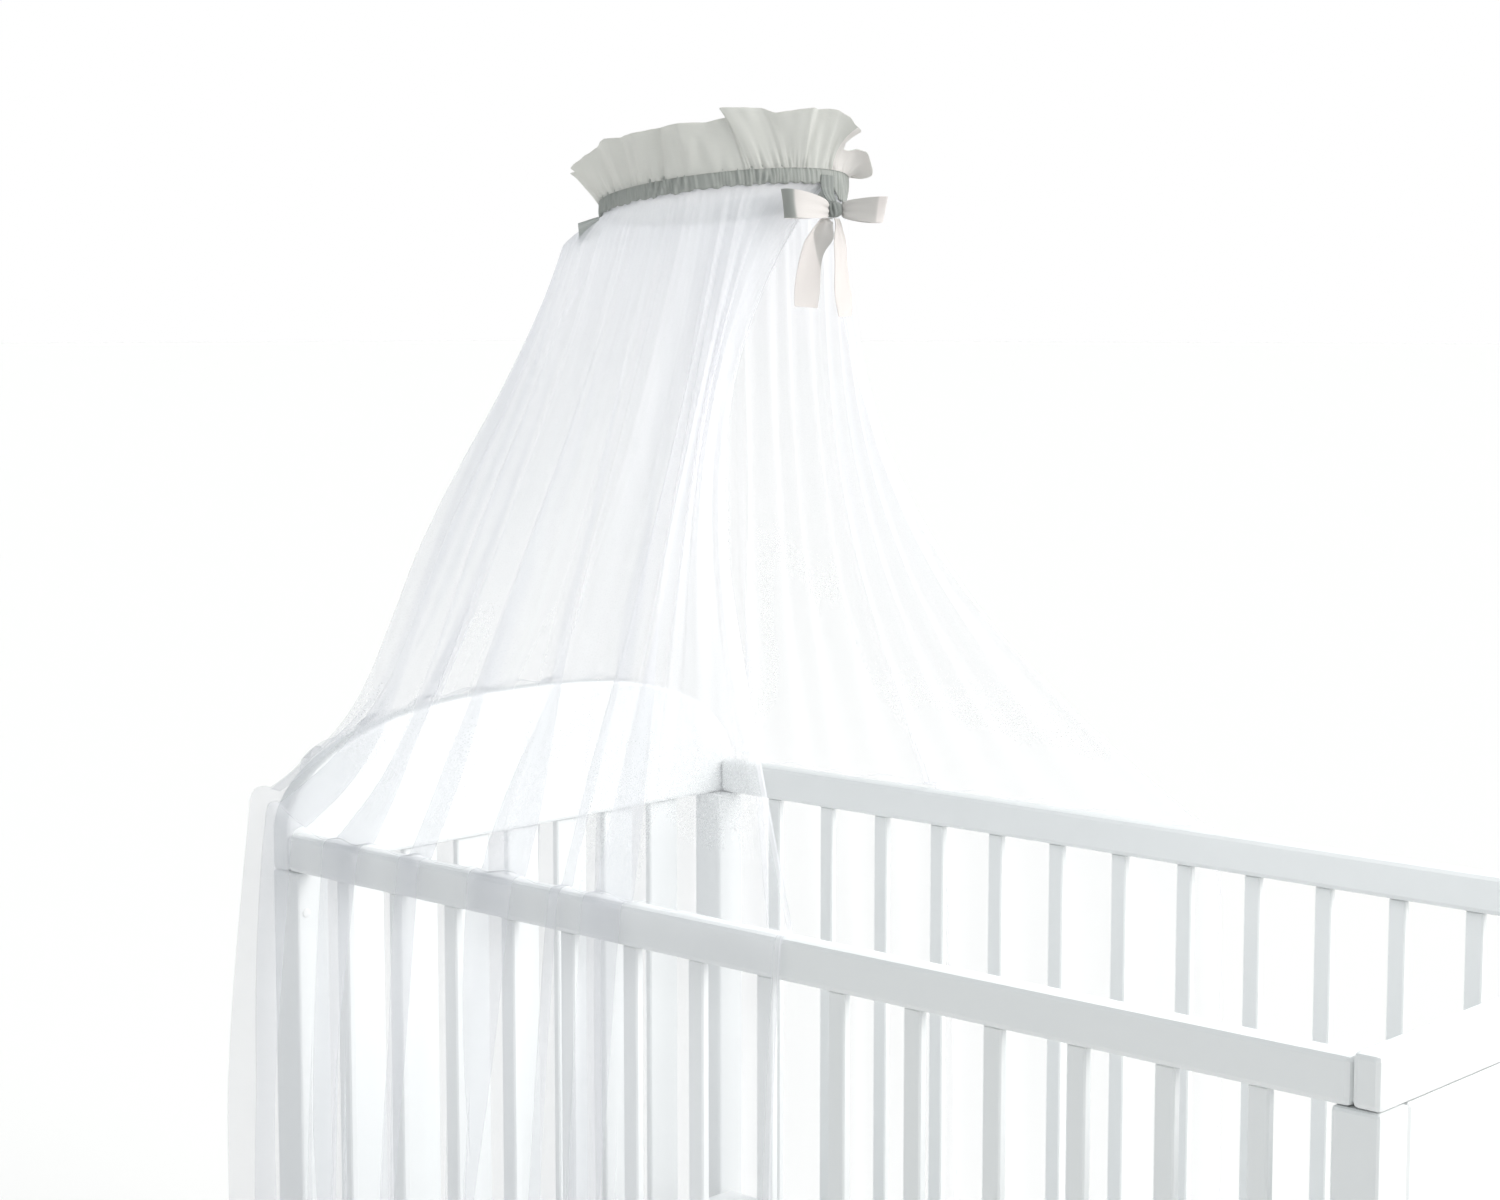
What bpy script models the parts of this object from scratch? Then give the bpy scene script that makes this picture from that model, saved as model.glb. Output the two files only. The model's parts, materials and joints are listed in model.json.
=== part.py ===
"""Mosquito net canopy on a slatted cot, in metres with +Z up.

A fine net hangs from a small tilted hoop above the head of the cot. It lies over the
near rail, the arched headboard and the far rail, and is open at the front. X runs from
the headboard to the foot, Y from the near side to the far side, and the floor is Z = 0.
"""

import math

import bpy
import numpy as np

GAP = 0.0003

# Cot
COT_LENGTH = 1.26
COT_WIDTH = 0.66
HEAD_X = -0.608
NEAR_Y = -COT_WIDTH / 2
RAIL_TOP = 0.85
RAIL_HEIGHT = 0.038
RAIL_THICK = 0.022
RAIL_ROUNDING = 0.005
POST_SIDE = 0.040
POST_ROUNDING = 0.003
BOARD_ROUNDING = 0.003
PANEL_ROUNDING = 0.004
BASE_ROUNDING = 0.002
HEAD_RAIL_INSET = 0.001
FOOT_CAP_RISE = 0.004
PANEL_THICK = 0.024
ARCH_RISE = 0.117
ARCH_FULLNESS = 2.6
LOW_RAIL_TOP = 0.29
SLAT_WIDTH = 0.018
SLAT_THICK = 0.009
SLAT_PITCH = 0.081
SIDE_SLATS = 14
HEAD_SLAT_WIDTH = 0.045
HEAD_SLAT_PITCH = 0.0735
HEAD_SLATS = 7
EDGE_SOFTENING = 0.0015
BASE_TOP = 0.33
BASE_THICK = 0.012

# Hoop, with its height above the rail top, and how far it climbs for each metre towards the foot
HOOP_X = 0.320
HOOP_Y = COT_WIDTH / 2
HOOP_HEIGHT = 0.6455
HOOP_RADIUS = 0.118
HOOP_ROD_RADIUS = 0.004
HOOP_CLIMB = 0.14
HOOP_STEPS = 48

# Casing gathered over the hoop
BAND_HEIGHT = 0.020
BAND_WALL = 0.0012
BAND_CLEARANCE = 0.0005
BAND_STEPS = 72
BAND_GATHERS = 24
BAND_GATHER_DEPTH = 0.0007
BAND_ROUND_SHARE = 0.55
BAND_LINING_SHARE = 0.9

# Frill above the casing
RUFFLE_THICK = 0.0014
RUFFLE_FOLDS = 13
RUFFLE_STEPS = 78
RUFFLE_FOLD_DEPTH = 0.009
RUFFLE_FLARE = 1.2
RUFFLE_BULGE = 0.017
RUFFLE_SEAT = 0.0008
RUFFLE_SEAM_WAVE = 0.002
# Unevenness of the folds' spacing and of the edge. Columns: waves round the hoop, size, lag
RUFFLE_DRIFTS = ((2, 0.9, 0.0), (3, 0.7, 1.0))
RUFFLE_LIFTS = ((5, 0.004, 0.4), (8, 0.003, 0.0))
RUFFLE_SHARES = (0.0, 0.18, 0.42, 0.7, 1.0)
# Columns: azimuth in degrees, reach outwards, rise above the casing
RUFFLE_TABLE = (
    (-170, 0.030, 0.030),
    (-137, 0.031, 0.034),
    (-112, 0.028, 0.046),
    (-95, 0.026, 0.041),
    (-81, 0.025, 0.035),
    (-52, 0.024, 0.033),
    (-44, 0.026, 0.043),
    (-20, 0.023, 0.043),
    (5, 0.022, 0.040),
    (22, 0.020, 0.034),
    (42, 0.033, 0.015),
    (60, 0.029, 0.016),
    (80, 0.034, 0.020),
    (110, 0.030, 0.028),
    (160, 0.029, 0.030),
)

# Net
NET_THICK = 0.002
NET_LENGTH = 1.42
NET_COLUMNS = 113
NET_TOP_CLEARANCE = 0.0029
NET_SEAM_DROP = 0.002
MOUTH_DROP = 0.001
NEAR_REACH = 0.70
FRONT_AZIMUTH = 12.0
FRONT_GAP = 4.0
CORNER_AZIMUTH = -134.0
LAND_HEIGHT = 0.0006 + NET_THICK / 2
LAND_INNER = -0.012
LAND_OUTER = -0.006
SIDE_CLEARANCE = 0.0032
# How the cloth goes over a rail. Columns: offset outwards from the outer face, share of the
# fold's depth added to it, height over the rail top, share of the fold's depth added to that
RAIL_WRAP = (
    (LAND_INNER, 0.0, LAND_HEIGHT, 0.7),
    (LAND_OUTER, 0.0, LAND_HEIGHT, 0.8),
    (0.0009, 0.6, 0.0009, 0.5),
    (SIDE_CLEARANCE, 1.0, -0.006, 0.0),
)
CORNER_BULGE = 0.012
CORNER_BLEND = 0.035
CORNER_LIFT = 0.040
CORNER_LIFT_REACH = 0.032
# How late the cloth spreads on its way down. Columns: place along the run, power of the drop
SWEEP_TABLE = (
    (0.00, 2.20),
    (0.17, 1.65),
    (0.34, 1.15),
    (0.70, 1.10),
    (0.90, 1.10),
    (1.16, 1.15),
    (1.36, 1.50),
    (1.60, 2.00),
    (1.80, 2.25),
    (2.06, 2.15),
)
# How far the cloth is drawn in over the headboard's corners, low down
CORNER_TUCK = 0.13
CORNER_TUCK_START = 0.4
CORNER_TUCK_REACH = 0.13
BULGE_REACH = 0.34
BULGE_NEAR = (-0.03, -0.09)
BULGE_FAR = (-0.030, 0.043)
BULGE_SKEW = 0.8
SHOULDER_REACH = 0.040
SHOULDER_FADE = 4.0
SHOULDER_DROP = 0.05
SHOULDER_AZIMUTH = -152.0
SHOULDER_SPREAD = 42.0
UPPER_DROPS = (0.0, 0.035, 0.09, 0.2, 0.36, 0.54, 0.72, 0.88)
LOWER_DROPS = (0.0, 0.08, 0.3, 0.6, 1.0)
HANG_OFFSET = 0.013
HANG_RATE = 0.10
# Mean depth of the folds, and the share of a fold's depth at each place down the cloth
FOLD_MEAN = 0.012
FOLD_TOP_SHARE = 0.12
FOLD_MIDDLE_SHARE = 0.9
FOLD_RAIL_SHARE = 0.34
FOLD_HEM_SHARE = 1.25
# Drops at which the folds begin, are full and are drawn flat again, and their growth below
FOLD_START = 0.03
FOLD_FULL = 0.55
FOLD_FLATTEN = 0.6
FOLD_HEM_REACH = 0.35
# Main folds, counted along the run from the near front edge, over the headboard, to the far
# front edge. Columns: place, half width, depth
FOLD_TABLE = (
    (0.020, 0.024, 0.010),
    (0.110, 0.046, 0.009),
    (0.172, 0.022, 0.016),
    (0.224, 0.030, 0.019),
    (0.272, 0.020, 0.014),
    (0.350, 0.040, 0.021),
    (0.398, 0.022, 0.013),
    (0.478, 0.024, 0.018),
    (0.545, 0.034, 0.020),
    (0.600, 0.026, 0.015),
    (0.655, 0.030, 0.018),
    (0.700, 0.030, 0.020),
    (0.762, 0.032, 0.022),
    (0.835, 0.036, 0.018),
    (0.900, 0.030, 0.021),
    (0.962, 0.034, 0.017),
    (1.030, 0.036, 0.022),
    (1.100, 0.034, 0.018),
    (1.163, 0.030, 0.021),
    (1.228, 0.034, 0.017),
    (1.300, 0.034, 0.022),
    (1.360, 0.030, 0.020),
    (1.420, 0.032, 0.019),
    (1.490, 0.036, 0.021),
    (1.552, 0.026, 0.015),
    (1.620, 0.038, 0.022),
    (1.690, 0.030, 0.017),
    (1.762, 0.038, 0.020),
    (1.840, 0.034, 0.016),
    (1.930, 0.046, 0.018),
    (2.036, 0.026, 0.010),
)

# Bow
BOW_AZIMUTH = 5.0
BOW_REACH = 0.0170
BOW_DROP = 0.0410
RIBBON_THICK = 0.0015
RIBBON_WIDTH = 0.028
KNOT_SIZE = (0.014, 0.017, 0.015)
KNOT_ROUNDING = 0.003
LOOP_PINCH = 0.42
LOOP_FULLNESS = 0.0075
LOOP_ROOT = 0.35
LOOP_STEPS = 15
LOOP_END_OFFSET = 0.0011
# Columns: name, heading of the loop in degrees, distance of its root from the knot's middle, length
LOOP_TABLE = (
    ("bow_loop_left", -86.0, 0.0092, 0.070),
    ("bow_loop_right", 62.0, 0.0102, 0.046),
)
TAIL_STEPS = 9
TAIL_SPACING = 0.0042
TAIL_SEAT = 0.00046
TAIL_DRIFT_POWER = 0.8
TAIL_TWIST_REACH = 0.5
TAIL_OPEN_REACH = 0.3
TAIL_PINCH = 0.38
TAIL_WIDTH = 0.93
# Columns: name, start heading, drift heading, drift, drop, facing at top and foot in degrees
TAIL_TABLE = (
    ("bow_tail_wide", -86.0, -110.0, 0.027, 0.086, 10.0, -47.0),
    ("bow_tail_narrow", 62.0, 40.0, 0.014, 0.095, 60.0, 30.0),
)
NECK_FOOT_RISE = 0.0012
NECK_INSET = 0.003
NECK_LEAN = 0.0022
NECK_LEAN_HEIGHT = 0.007
NECK_ON_BAND_LOW = -0.0180
NECK_ON_BAND_HIGH = -0.0060
NECK_HALF_TURN = 3.0
TAB_WIDTH = 0.026
TAB_AZIMUTH = -134.0
TAB_PLACES = (0.003, 0.011, 0.020, 0.032)
TAB_LIFT = 0.0030
TAB_SLOPE_STEP = 0.004

# Colours: red, green, blue, then roughness
WHITE_PAINT = (0.86, 0.88, 0.88, 0.45)
WHITE_NET = (0.93, 0.93, 0.97, 0.90)
SAGE_COTTON = (0.50, 0.54, 0.49, 0.92)
SAND_RIBBON = (0.76, 0.71, 0.66, 0.85)
WHITE_PLASTIC = (0.80, 0.80, 0.80, 0.50)


def clear_scene():
    """Remove whatever the scene holds."""
    for item in list(bpy.data.objects):
        bpy.data.objects.remove(item)


def make_material(name, finish):
    """A plain material of one colour and roughness."""
    red, green, blue, roughness = finish
    material = bpy.data.materials.new(name)
    material.use_nodes = True
    shader = material.node_tree.nodes["Principled BSDF"]
    shader.inputs["Base Color"].default_value = (red, green, blue, 1.0)
    shader.inputs["Roughness"].default_value = roughness
    shader.inputs["Metallic"].default_value = 0.0
    return material


def add_object(name, vertices, faces, material, smooth_angle=None):
    """Put a mesh into the scene under its own name."""
    mesh = bpy.data.meshes.new(name)
    mesh.from_pydata([tuple(map(float, point)) for point in vertices], [], faces)
    mesh.validate()
    mesh.materials.append(material)
    if smooth_angle is not None:
        mesh.shade_smooth()
        mesh.set_sharp_from_angle(angle=math.radians(smooth_angle))
    item = bpy.data.objects.new(name, mesh)
    bpy.context.scene.collection.objects.link(item)
    return item


def add_box(name, low, high, material, rounding, segments=1):
    """A board or block with softened edges, its object origin at its middle."""
    half = [(b - a) / 2 for a, b in zip(low, high)]
    signs = [(x, y, z) for x in (-1, 1) for y in (-1, 1) for z in (-1, 1)]
    corners = [tuple(s * h for s, h in zip(sign, half)) for sign in signs]
    faces = [(0, 1, 3, 2), (4, 6, 7, 5), (0, 4, 5, 1), (2, 3, 7, 6), (0, 2, 6, 4), (1, 5, 7, 3)]
    item = add_object(name, corners, faces, material, 40)
    item.location = [(a + b) / 2 for a, b in zip(low, high)]
    soften(item, rounding, segments)
    return item


def soften(item, width, segments, angle=40):
    """Round an object's edges with a Bevel modifier."""
    bevel = item.modifiers.new("soft edges", "BEVEL")
    bevel.width = width
    bevel.segments = segments
    bevel.limit_method = "ANGLE"
    bevel.angle_limit = math.radians(angle)
    return bevel


def add_sheet(name, grid, thickness, material, closed=False):
    """A cloth sheet from a grid of points, given its thickness by a Solidify modifier."""
    rows, columns, _ = grid.shape
    last = columns if closed else columns - 1
    faces = []
    for row in range(rows - 1):
        for column in range(last):
            beside = (column + 1) % columns
            faces.append(
                (
                    row * columns + column,
                    (row + 1) * columns + column,
                    (row + 1) * columns + beside,
                    row * columns + beside,
                )
            )
    item = add_object(name, grid.reshape(-1, 3), faces, material, 60)
    solid = item.modifiers.new("thickness", "SOLIDIFY")
    solid.thickness = thickness
    solid.offset = 0.0
    return item


def add_ring(name, rings, material):
    """A solid swept round a closed path: rings holds one closed section for each step."""
    steps, sides, _ = rings.shape
    faces = []
    for step in range(steps):
        ahead = (step + 1) % steps
        for side in range(sides):
            beside = (side + 1) % sides
            faces.append(
                (
                    step * sides + side,
                    step * sides + beside,
                    ahead * sides + beside,
                    ahead * sides + side,
                )
            )
    return add_object(name, rings.reshape(-1, 3), faces, material, 50)


# ---------------------------------------------------------------------------
# Cot


def arch_height(across):
    """Height of the headboard's arch above the rail top, across from the near side."""
    share = np.abs(2 * np.clip(across / COT_WIDTH, 0, 1) - 1)
    return ARCH_RISE * np.sqrt(1 - share**ARCH_FULLNESS)


def add_headboard_panel(material):
    """The arched board across the head end."""
    turns = np.linspace(0, math.pi, 33)
    across = COT_WIDTH / 2 * (1 - np.cos(turns))
    outline = [(y, arch_height(y)) for y in across]
    outline = [(0.0, -RAIL_HEIGHT)] + outline + [(COT_WIDTH, -RAIL_HEIGHT)]
    count = len(outline)
    vertices = []
    for depth in (0.0, PANEL_THICK):
        for y, z in outline:
            vertices.append((HEAD_X + depth, NEAR_Y + y, RAIL_TOP + z))
    faces = [tuple(range(count)), tuple(range(2 * count - 1, count - 1, -1))]
    for index in range(count):
        ahead = (index + 1) % count
        faces.append((ahead, index, index + count, ahead + count))
    item = add_object("headboard_panel", vertices, faces, material, 40)
    soften(item, PANEL_ROUNDING, 2, 62)


def add_cot(material):
    """Rails, slats, posts, boards and base, all plain."""
    foot_x = HEAD_X + COT_LENGTH
    far_y = NEAR_Y + COT_WIDTH
    rail_low = RAIL_TOP - RAIL_HEIGHT
    post_top = rail_low - GAP
    for end, x in (("head", HEAD_X), ("foot", foot_x - POST_SIDE)):
        for side, y in (("near", NEAR_Y), ("far", far_y - POST_SIDE)):
            low = (x, y, 0.0)
            high = (x + POST_SIDE, y + POST_SIDE, post_top)
            add_box(f"post_{end}_{side}", low, high, material, POST_ROUNDING, 2)

    first = HEAD_X + COT_LENGTH / 2 - SLAT_PITCH * (SIDE_SLATS - 1) / 2
    for side, y in (("near", NEAR_Y), ("far", far_y - RAIL_THICK)):
        low = (HEAD_X + PANEL_THICK + GAP, y, rail_low)
        high = (foot_x - PANEL_THICK - GAP, y + RAIL_THICK, RAIL_TOP)
        add_box(f"rail_{side}", low, high, material, RAIL_ROUNDING, 2)
        low = (HEAD_X + POST_SIDE + GAP, y, LOW_RAIL_TOP - RAIL_HEIGHT)
        high = (foot_x - POST_SIDE - GAP, y + RAIL_THICK, LOW_RAIL_TOP)
        add_box(f"low_rail_{side}", low, high, material, BOARD_ROUNDING, 1)
        middle = y + RAIL_THICK / 2
        for index in range(SIDE_SLATS):
            x = first + index * SLAT_PITCH
            low = (x - SLAT_WIDTH / 2, middle - SLAT_THICK / 2, LOW_RAIL_TOP + GAP)
            high = (x + SLAT_WIDTH / 2, middle + SLAT_THICK / 2, rail_low - GAP)
            add_box(f"slat_{side}_{index + 1:02d}", low, high, material, EDGE_SOFTENING)

    inner_near = NEAR_Y + POST_SIDE + GAP
    inner_far = far_y - POST_SIDE - GAP
    low = (HEAD_X + HEAD_RAIL_INSET, inner_near, LOW_RAIL_TOP - RAIL_HEIGHT)
    high = (HEAD_X + HEAD_RAIL_INSET + RAIL_THICK, inner_far, LOW_RAIL_TOP)
    add_box("head_low_rail", low, high, material, BOARD_ROUNDING, 1)
    for index in range(HEAD_SLATS):
        y = (index - (HEAD_SLATS - 1) / 2) * HEAD_SLAT_PITCH
        x = HEAD_X + PANEL_THICK / 2
        low = (x - SLAT_THICK / 2, y - HEAD_SLAT_WIDTH / 2, LOW_RAIL_TOP + GAP)
        high = (x + SLAT_THICK / 2, y + HEAD_SLAT_WIDTH / 2, rail_low - GAP)
        add_box(f"head_slat_{index + 1}", low, high, material, EDGE_SOFTENING)

    low = (foot_x - PANEL_THICK, inner_near, LOW_RAIL_TOP - RAIL_HEIGHT)
    high = (foot_x, inner_far, post_top - GAP)
    low_top = (foot_x - PANEL_THICK, NEAR_Y, rail_low)
    high_top = (foot_x, far_y, RAIL_TOP + FOOT_CAP_RISE)
    add_box("foot_board", low, high, material, BOARD_ROUNDING, 1)
    add_box("foot_cap", low_top, high_top, material, RAIL_ROUNDING, 2)

    low = (HEAD_X + POST_SIDE + GAP, NEAR_Y + RAIL_THICK + GAP, BASE_TOP - BASE_THICK)
    high = (foot_x - POST_SIDE - GAP, far_y - RAIL_THICK - GAP, BASE_TOP)
    add_box("base_board", low, high, material, BASE_ROUNDING, 1)


# ---------------------------------------------------------------------------
# Hoop, casing and frill


def on_hoop(azimuth, radius, height):
    """A point at an azimuth in degrees, a radius and a height over the tilted hoop."""
    turn = np.radians(azimuth)
    x = HOOP_X + radius * np.cos(turn)
    y = HOOP_Y + radius * np.sin(turn)
    z = HOOP_HEIGHT + HOOP_CLIMB * (x - HOOP_X) + height
    return np.stack(np.broadcast_arrays(HEAD_X + x, NEAR_Y + y, RAIL_TOP + z), axis=-1)


def add_hoop(material):
    """The round rod bent into a ring."""
    azimuth = np.linspace(0, 360, HOOP_STEPS, endpoint=False)[:, None]
    turn = np.linspace(2 * math.pi, 0, 8, endpoint=False)[None, :]
    radius = HOOP_RADIUS + HOOP_ROD_RADIUS * np.cos(turn)
    height = HOOP_ROD_RADIUS * np.sin(turn)
    add_ring("hoop", on_hoop(azimuth, radius, height), material)


def band_top():
    """Height of the casing's top over the hoop's middle."""
    return HOOP_ROD_RADIUS + BAND_CLEARANCE + BAND_WALL


def add_heading_band(material):
    """The casing: a gathered channel over the hoop, open below, where the net goes in."""
    inner = HOOP_ROD_RADIUS + BAND_CLEARANCE
    outer = inner + BAND_WALL
    bottom = band_top() - BAND_HEIGHT
    shoulder = inner * BAND_ROUND_SHARE
    lining = shoulder * BAND_LINING_SHARE
    # Section, from the inner wall's foot up and over to the outer wall's foot and back inside.
    # Columns: offset from the hoop's circle, height, share of the gathers
    section = (
        (-outer, bottom, 0.0),
        (-outer, shoulder, 0.0),
        (-shoulder, band_top(), 0.0),
        (shoulder, band_top(), 0.0),
        (outer, shoulder, 1.0),
        (outer, bottom, 1.0),
        (inner, bottom, 0.0),
        (inner, lining, 0.0),
        (lining, inner, 0.0),
        (-lining, inner, 0.0),
        (-inner, lining, 0.0),
        (-inner, bottom, 0.0),
    )
    azimuth = np.linspace(0, 360, BAND_STEPS, endpoint=False)
    gather = 0.5 + 0.5 * np.cos(np.radians(azimuth) * BAND_GATHERS)
    rings = []
    for angle, share in zip(azimuth, gather):
        ring = []
        for offset, height, gathered in section:
            radius = HOOP_RADIUS + offset + BAND_GATHER_DEPTH * gathered * share
            ring.append(on_hoop(angle, radius, height))
        rings.append(ring)
    add_ring("heading_band", np.array(rings), material)


def around(azimuth, column):
    """A column of the frill's table read smoothly at an azimuth."""
    stations = np.array([row[0] for row in RUFFLE_TABLE], float)
    values = np.array([row[column] for row in RUFFLE_TABLE], float)
    stations = np.concatenate([stations, [stations[0] + 360]])
    values = np.concatenate([values, [values[0]]])
    wrapped = (np.asarray(azimuth) - stations[0]) % 360 + stations[0]
    return np.interp(wrapped, stations, values)


def add_ruffle(material):
    """The frill, uneven and flaring outwards."""
    azimuth = np.linspace(0, 360, RUFFLE_STEPS, endpoint=False)
    turn = np.radians(azimuth)
    drift = sum(size * np.sin(count * turn + lag) for count, size, lag in RUFFLE_DRIFTS)
    wave = np.sin(RUFFLE_FOLDS * turn + drift)
    lift = sum(size * np.sin(count * turn + lag) for count, size, lag in RUFFLE_LIFTS)
    rows = []
    for share in RUFFLE_SHARES:
        reach = around(azimuth, 1) + RUFFLE_FOLD_DEPTH * wave
        radius = HOOP_RADIUS + RUFFLE_SEAM_WAVE * wave * (1 - share) + reach * share**RUFFLE_FLARE
        bulge = RUFFLE_BULGE * share * (1 - share)
        height = band_top() + RUFFLE_SEAT + (around(azimuth, 2) + lift) * share + bulge
        rows.append(on_hoop(azimuth, radius, height))
    add_sheet("ruffle", np.array(rows)[:, ::-1], RUFFLE_THICK, material, closed=True)


# ---------------------------------------------------------------------------
# Net


def run_length():
    """Length of the run over the near rail, the headboard and the far rail."""
    return 2 * NEAR_REACH + COT_WIDTH


def smooth_step(value):
    """A soft step from 0 to 1."""
    value = np.clip(value, 0, 1)
    return value * value * (3 - 2 * value)


def rail_path(run):
    """Where a place along the run meets the cot: outer edge, height and outward direction."""
    near_corner = NEAR_REACH
    far_corner = NEAR_REACH + COT_WIDTH
    x = max(near_corner - run, run - far_corner, 0.0)
    y = min(max(run - near_corner, 0.0), COT_WIDTH)
    quarter = math.pi / 2
    heading = -quarter
    for corner in (near_corner, far_corner):
        heading -= quarter * float(smooth_step((run - corner) / (2 * CORNER_BLEND) + 0.5))
    outward = np.array([math.cos(heading), math.sin(heading)])
    away = min(abs(run - near_corner), abs(run - far_corner))
    bulge = CORNER_BULGE * math.exp(-((away / CORNER_BLEND) ** 2))
    lift = CORNER_LIFT * math.exp(-((away / CORNER_LIFT_REACH) ** 2))
    height = max(float(arch_height(np.array(y))), lift) if near_corner <= run <= far_corner else lift
    return np.array([x, y]), height, outward, bulge


def fold_depth(run):
    """Depth of the folds at a place along the run, outwards from the cloth's inner line."""
    depth = 0.0
    for place, half_width, crest in FOLD_TABLE:
        away = abs(run - place) / half_width
        if away < 1:
            depth = max(depth, crest * math.cos(away * math.pi / 2) ** 2)
    return depth


def edge_share(run):
    """1 at a front edge of the net, falling to 0 further along the run."""
    away = min(run, run_length() - run)
    return 1 - float(smooth_step(away / BULGE_REACH))


def net_column(run):
    """Points down the cloth at one place along the run, from the casing to the hem."""
    half = run_length() / 2
    corners = (0.0, NEAR_REACH, NEAR_REACH + COT_WIDTH, run_length())
    azimuths = (
        FRONT_AZIMUTH - FRONT_GAP / 2,
        CORNER_AZIMUTH,
        -360 - CORNER_AZIMUTH,
        FRONT_AZIMUTH + FRONT_GAP / 2 - 360,
    )
    azimuth = float(np.interp(run, corners, azimuths))
    depth = fold_depth(run)
    edge = edge_share(run)
    places, powers = zip(*SWEEP_TABLE)
    sweep = float(np.interp(run, places, powers))
    bulge_xy = np.array(BULGE_NEAR if run < half else BULGE_FAR) * edge
    landing, landing_height, outward, corner_bulge = rail_path(run)
    corner_away = min(abs(run - NEAR_REACH), abs(run - NEAR_REACH - COT_WIDTH))
    tuck = CORNER_TUCK * math.exp(-((corner_away / CORNER_TUCK_REACH) ** 2))
    slot_radius = HOOP_RADIUS + NET_TOP_CLEARANCE
    around_back = (azimuth - SHOULDER_AZIMUTH) / SHOULDER_SPREAD
    shoulder = SHOULDER_REACH * math.exp(-around_back * around_back)

    points = [on_hoop(azimuth, slot_radius, -HOOP_ROD_RADIUS - NET_SEAM_DROP)]
    mouth = on_hoop(azimuth, slot_radius, band_top() - BAND_HEIGHT - MOUTH_DROP)
    top = mouth - np.array([HEAD_X, NEAR_Y, RAIL_TOP])
    radial = np.array([math.cos(math.radians(azimuth)), math.sin(math.radians(azimuth))])
    land_z = landing_height + LAND_HEIGHT
    inner = landing - outward * (-LAND_INNER - corner_bulge)
    for drop in UPPER_DROPS:
        late = max(drop - CORNER_TUCK_START, 0.0) / (1 - CORNER_TUCK_START)
        spread = drop**sweep * (1 - tuck * math.sin(math.pi * late * late))
        flat = top[:2] + (inner - top[:2]) * spread
        flat = flat + bulge_xy * math.sin(math.pi * drop**BULGE_SKEW)
        if drop < SHOULDER_DROP:
            rise = drop / SHOULDER_DROP
        else:
            rise = ((1 - drop) / (1 - SHOULDER_DROP)) ** SHOULDER_FADE
        flat = flat + radial * shoulder * rise
        share = FOLD_TOP_SHARE + (FOLD_MIDDLE_SHARE - FOLD_TOP_SHARE) * smooth_step(drop / FOLD_FULL)
        flatten = smooth_step((drop - FOLD_FLATTEN) / (1 - FOLD_FLATTEN))
        share = share + (FOLD_RAIL_SHARE - share) * flatten
        across = radial * (1 - drop) + outward * drop
        across = across / np.linalg.norm(across)
        taken_in = FOLD_MEAN * (1 - flatten)
        flat = flat + across * (depth - taken_in) * share * min(drop / FOLD_START, 1.0)
        z = top[2] + (land_z - top[2]) * drop
        points.append(np.array([HEAD_X + flat[0], NEAR_Y + flat[1], RAIL_TOP + z]))

    crest = depth * FOLD_RAIL_SHARE
    for offset, offset_share, height, height_share in RAIL_WRAP:
        flat = landing + outward * (offset + crest * offset_share + corner_bulge)
        z = landing_height + height + crest * height_share
        points.append(np.array([HEAD_X + flat[0], NEAR_Y + flat[1], RAIL_TOP + z]))

    used = sum(np.linalg.norm(b - a) for a, b in zip(points, points[1:]))
    hang = NET_LENGTH - used
    start = points[-1]
    for place in LOWER_DROPS[1:]:
        fall = hang * place
        away = HANG_OFFSET * (1 - math.exp(-fall / HANG_RATE))
        growth = FOLD_RAIL_SHARE + (FOLD_HEM_SHARE - FOLD_RAIL_SHARE) * smooth_step(fall / FOLD_HEM_REACH)
        away += depth * (growth - FOLD_RAIL_SHARE)
        flat = start[:2] + outward * away
        points.append(np.array([flat[0], flat[1], start[2] - fall]))
    return np.array(points)


def add_net(material):
    """The whole net as one thin sheet."""
    runs = np.linspace(0, run_length(), NET_COLUMNS)
    grid = np.stack([net_column(run) for run in runs], axis=1)
    add_sheet("net", grid, NET_THICK, material)


# ---------------------------------------------------------------------------
# Bow and rear tab


def heading_vector(degrees):
    """A level unit vector at an azimuth."""
    return np.array([math.cos(math.radians(degrees)), math.sin(math.radians(degrees)), 0.0])


def bow_centre():
    """Middle of the knot, just below the casing and outside the net."""
    return on_hoop(BOW_AZIMUTH, HOOP_RADIUS + BOW_REACH, -BOW_DROP)


def add_knot(material):
    """The knot, a small rounded lump."""
    centre = bow_centre()
    low = [c - s / 2 for c, s in zip(centre, KNOT_SIZE)]
    high = [c + s / 2 for c, s in zip(centre, KNOT_SIZE)]
    add_box("bow_knot", low, high, material, KNOT_ROUNDING, 2)


def add_loop(name, heading, root, length, material):
    """One loop of the bow: ribbon that leaves the knot, turns round and comes back."""
    along = heading_vector(heading)
    side = np.array([-along[1], along[0], 0.0])
    up = np.array([0.0, 0.0, 1.0])
    start = bow_centre() + along * root
    rows = []
    for lift in (-1.0, 0.0, 1.0):
        row = []
        for place in np.linspace(0, 1, LOOP_STEPS):
            turn = 2 * math.pi * place
            out = length * (1 - math.cos(turn)) / 2
            share = out / length
            swell = math.sin(turn) * (LOOP_ROOT + (1 - LOOP_ROOT) * share)
            belly = LOOP_FULLNESS * swell - LOOP_END_OFFSET * math.copysign(1 - share, place - 0.5)
            width = RIBBON_WIDTH * (LOOP_PINCH + (1 - LOOP_PINCH) * math.sqrt(share))
            row.append(start + along * out - side * belly + up * lift * width / 2)
        rows.append(row)
    add_sheet(name, np.array(rows), RIBBON_THICK, material)


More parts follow.
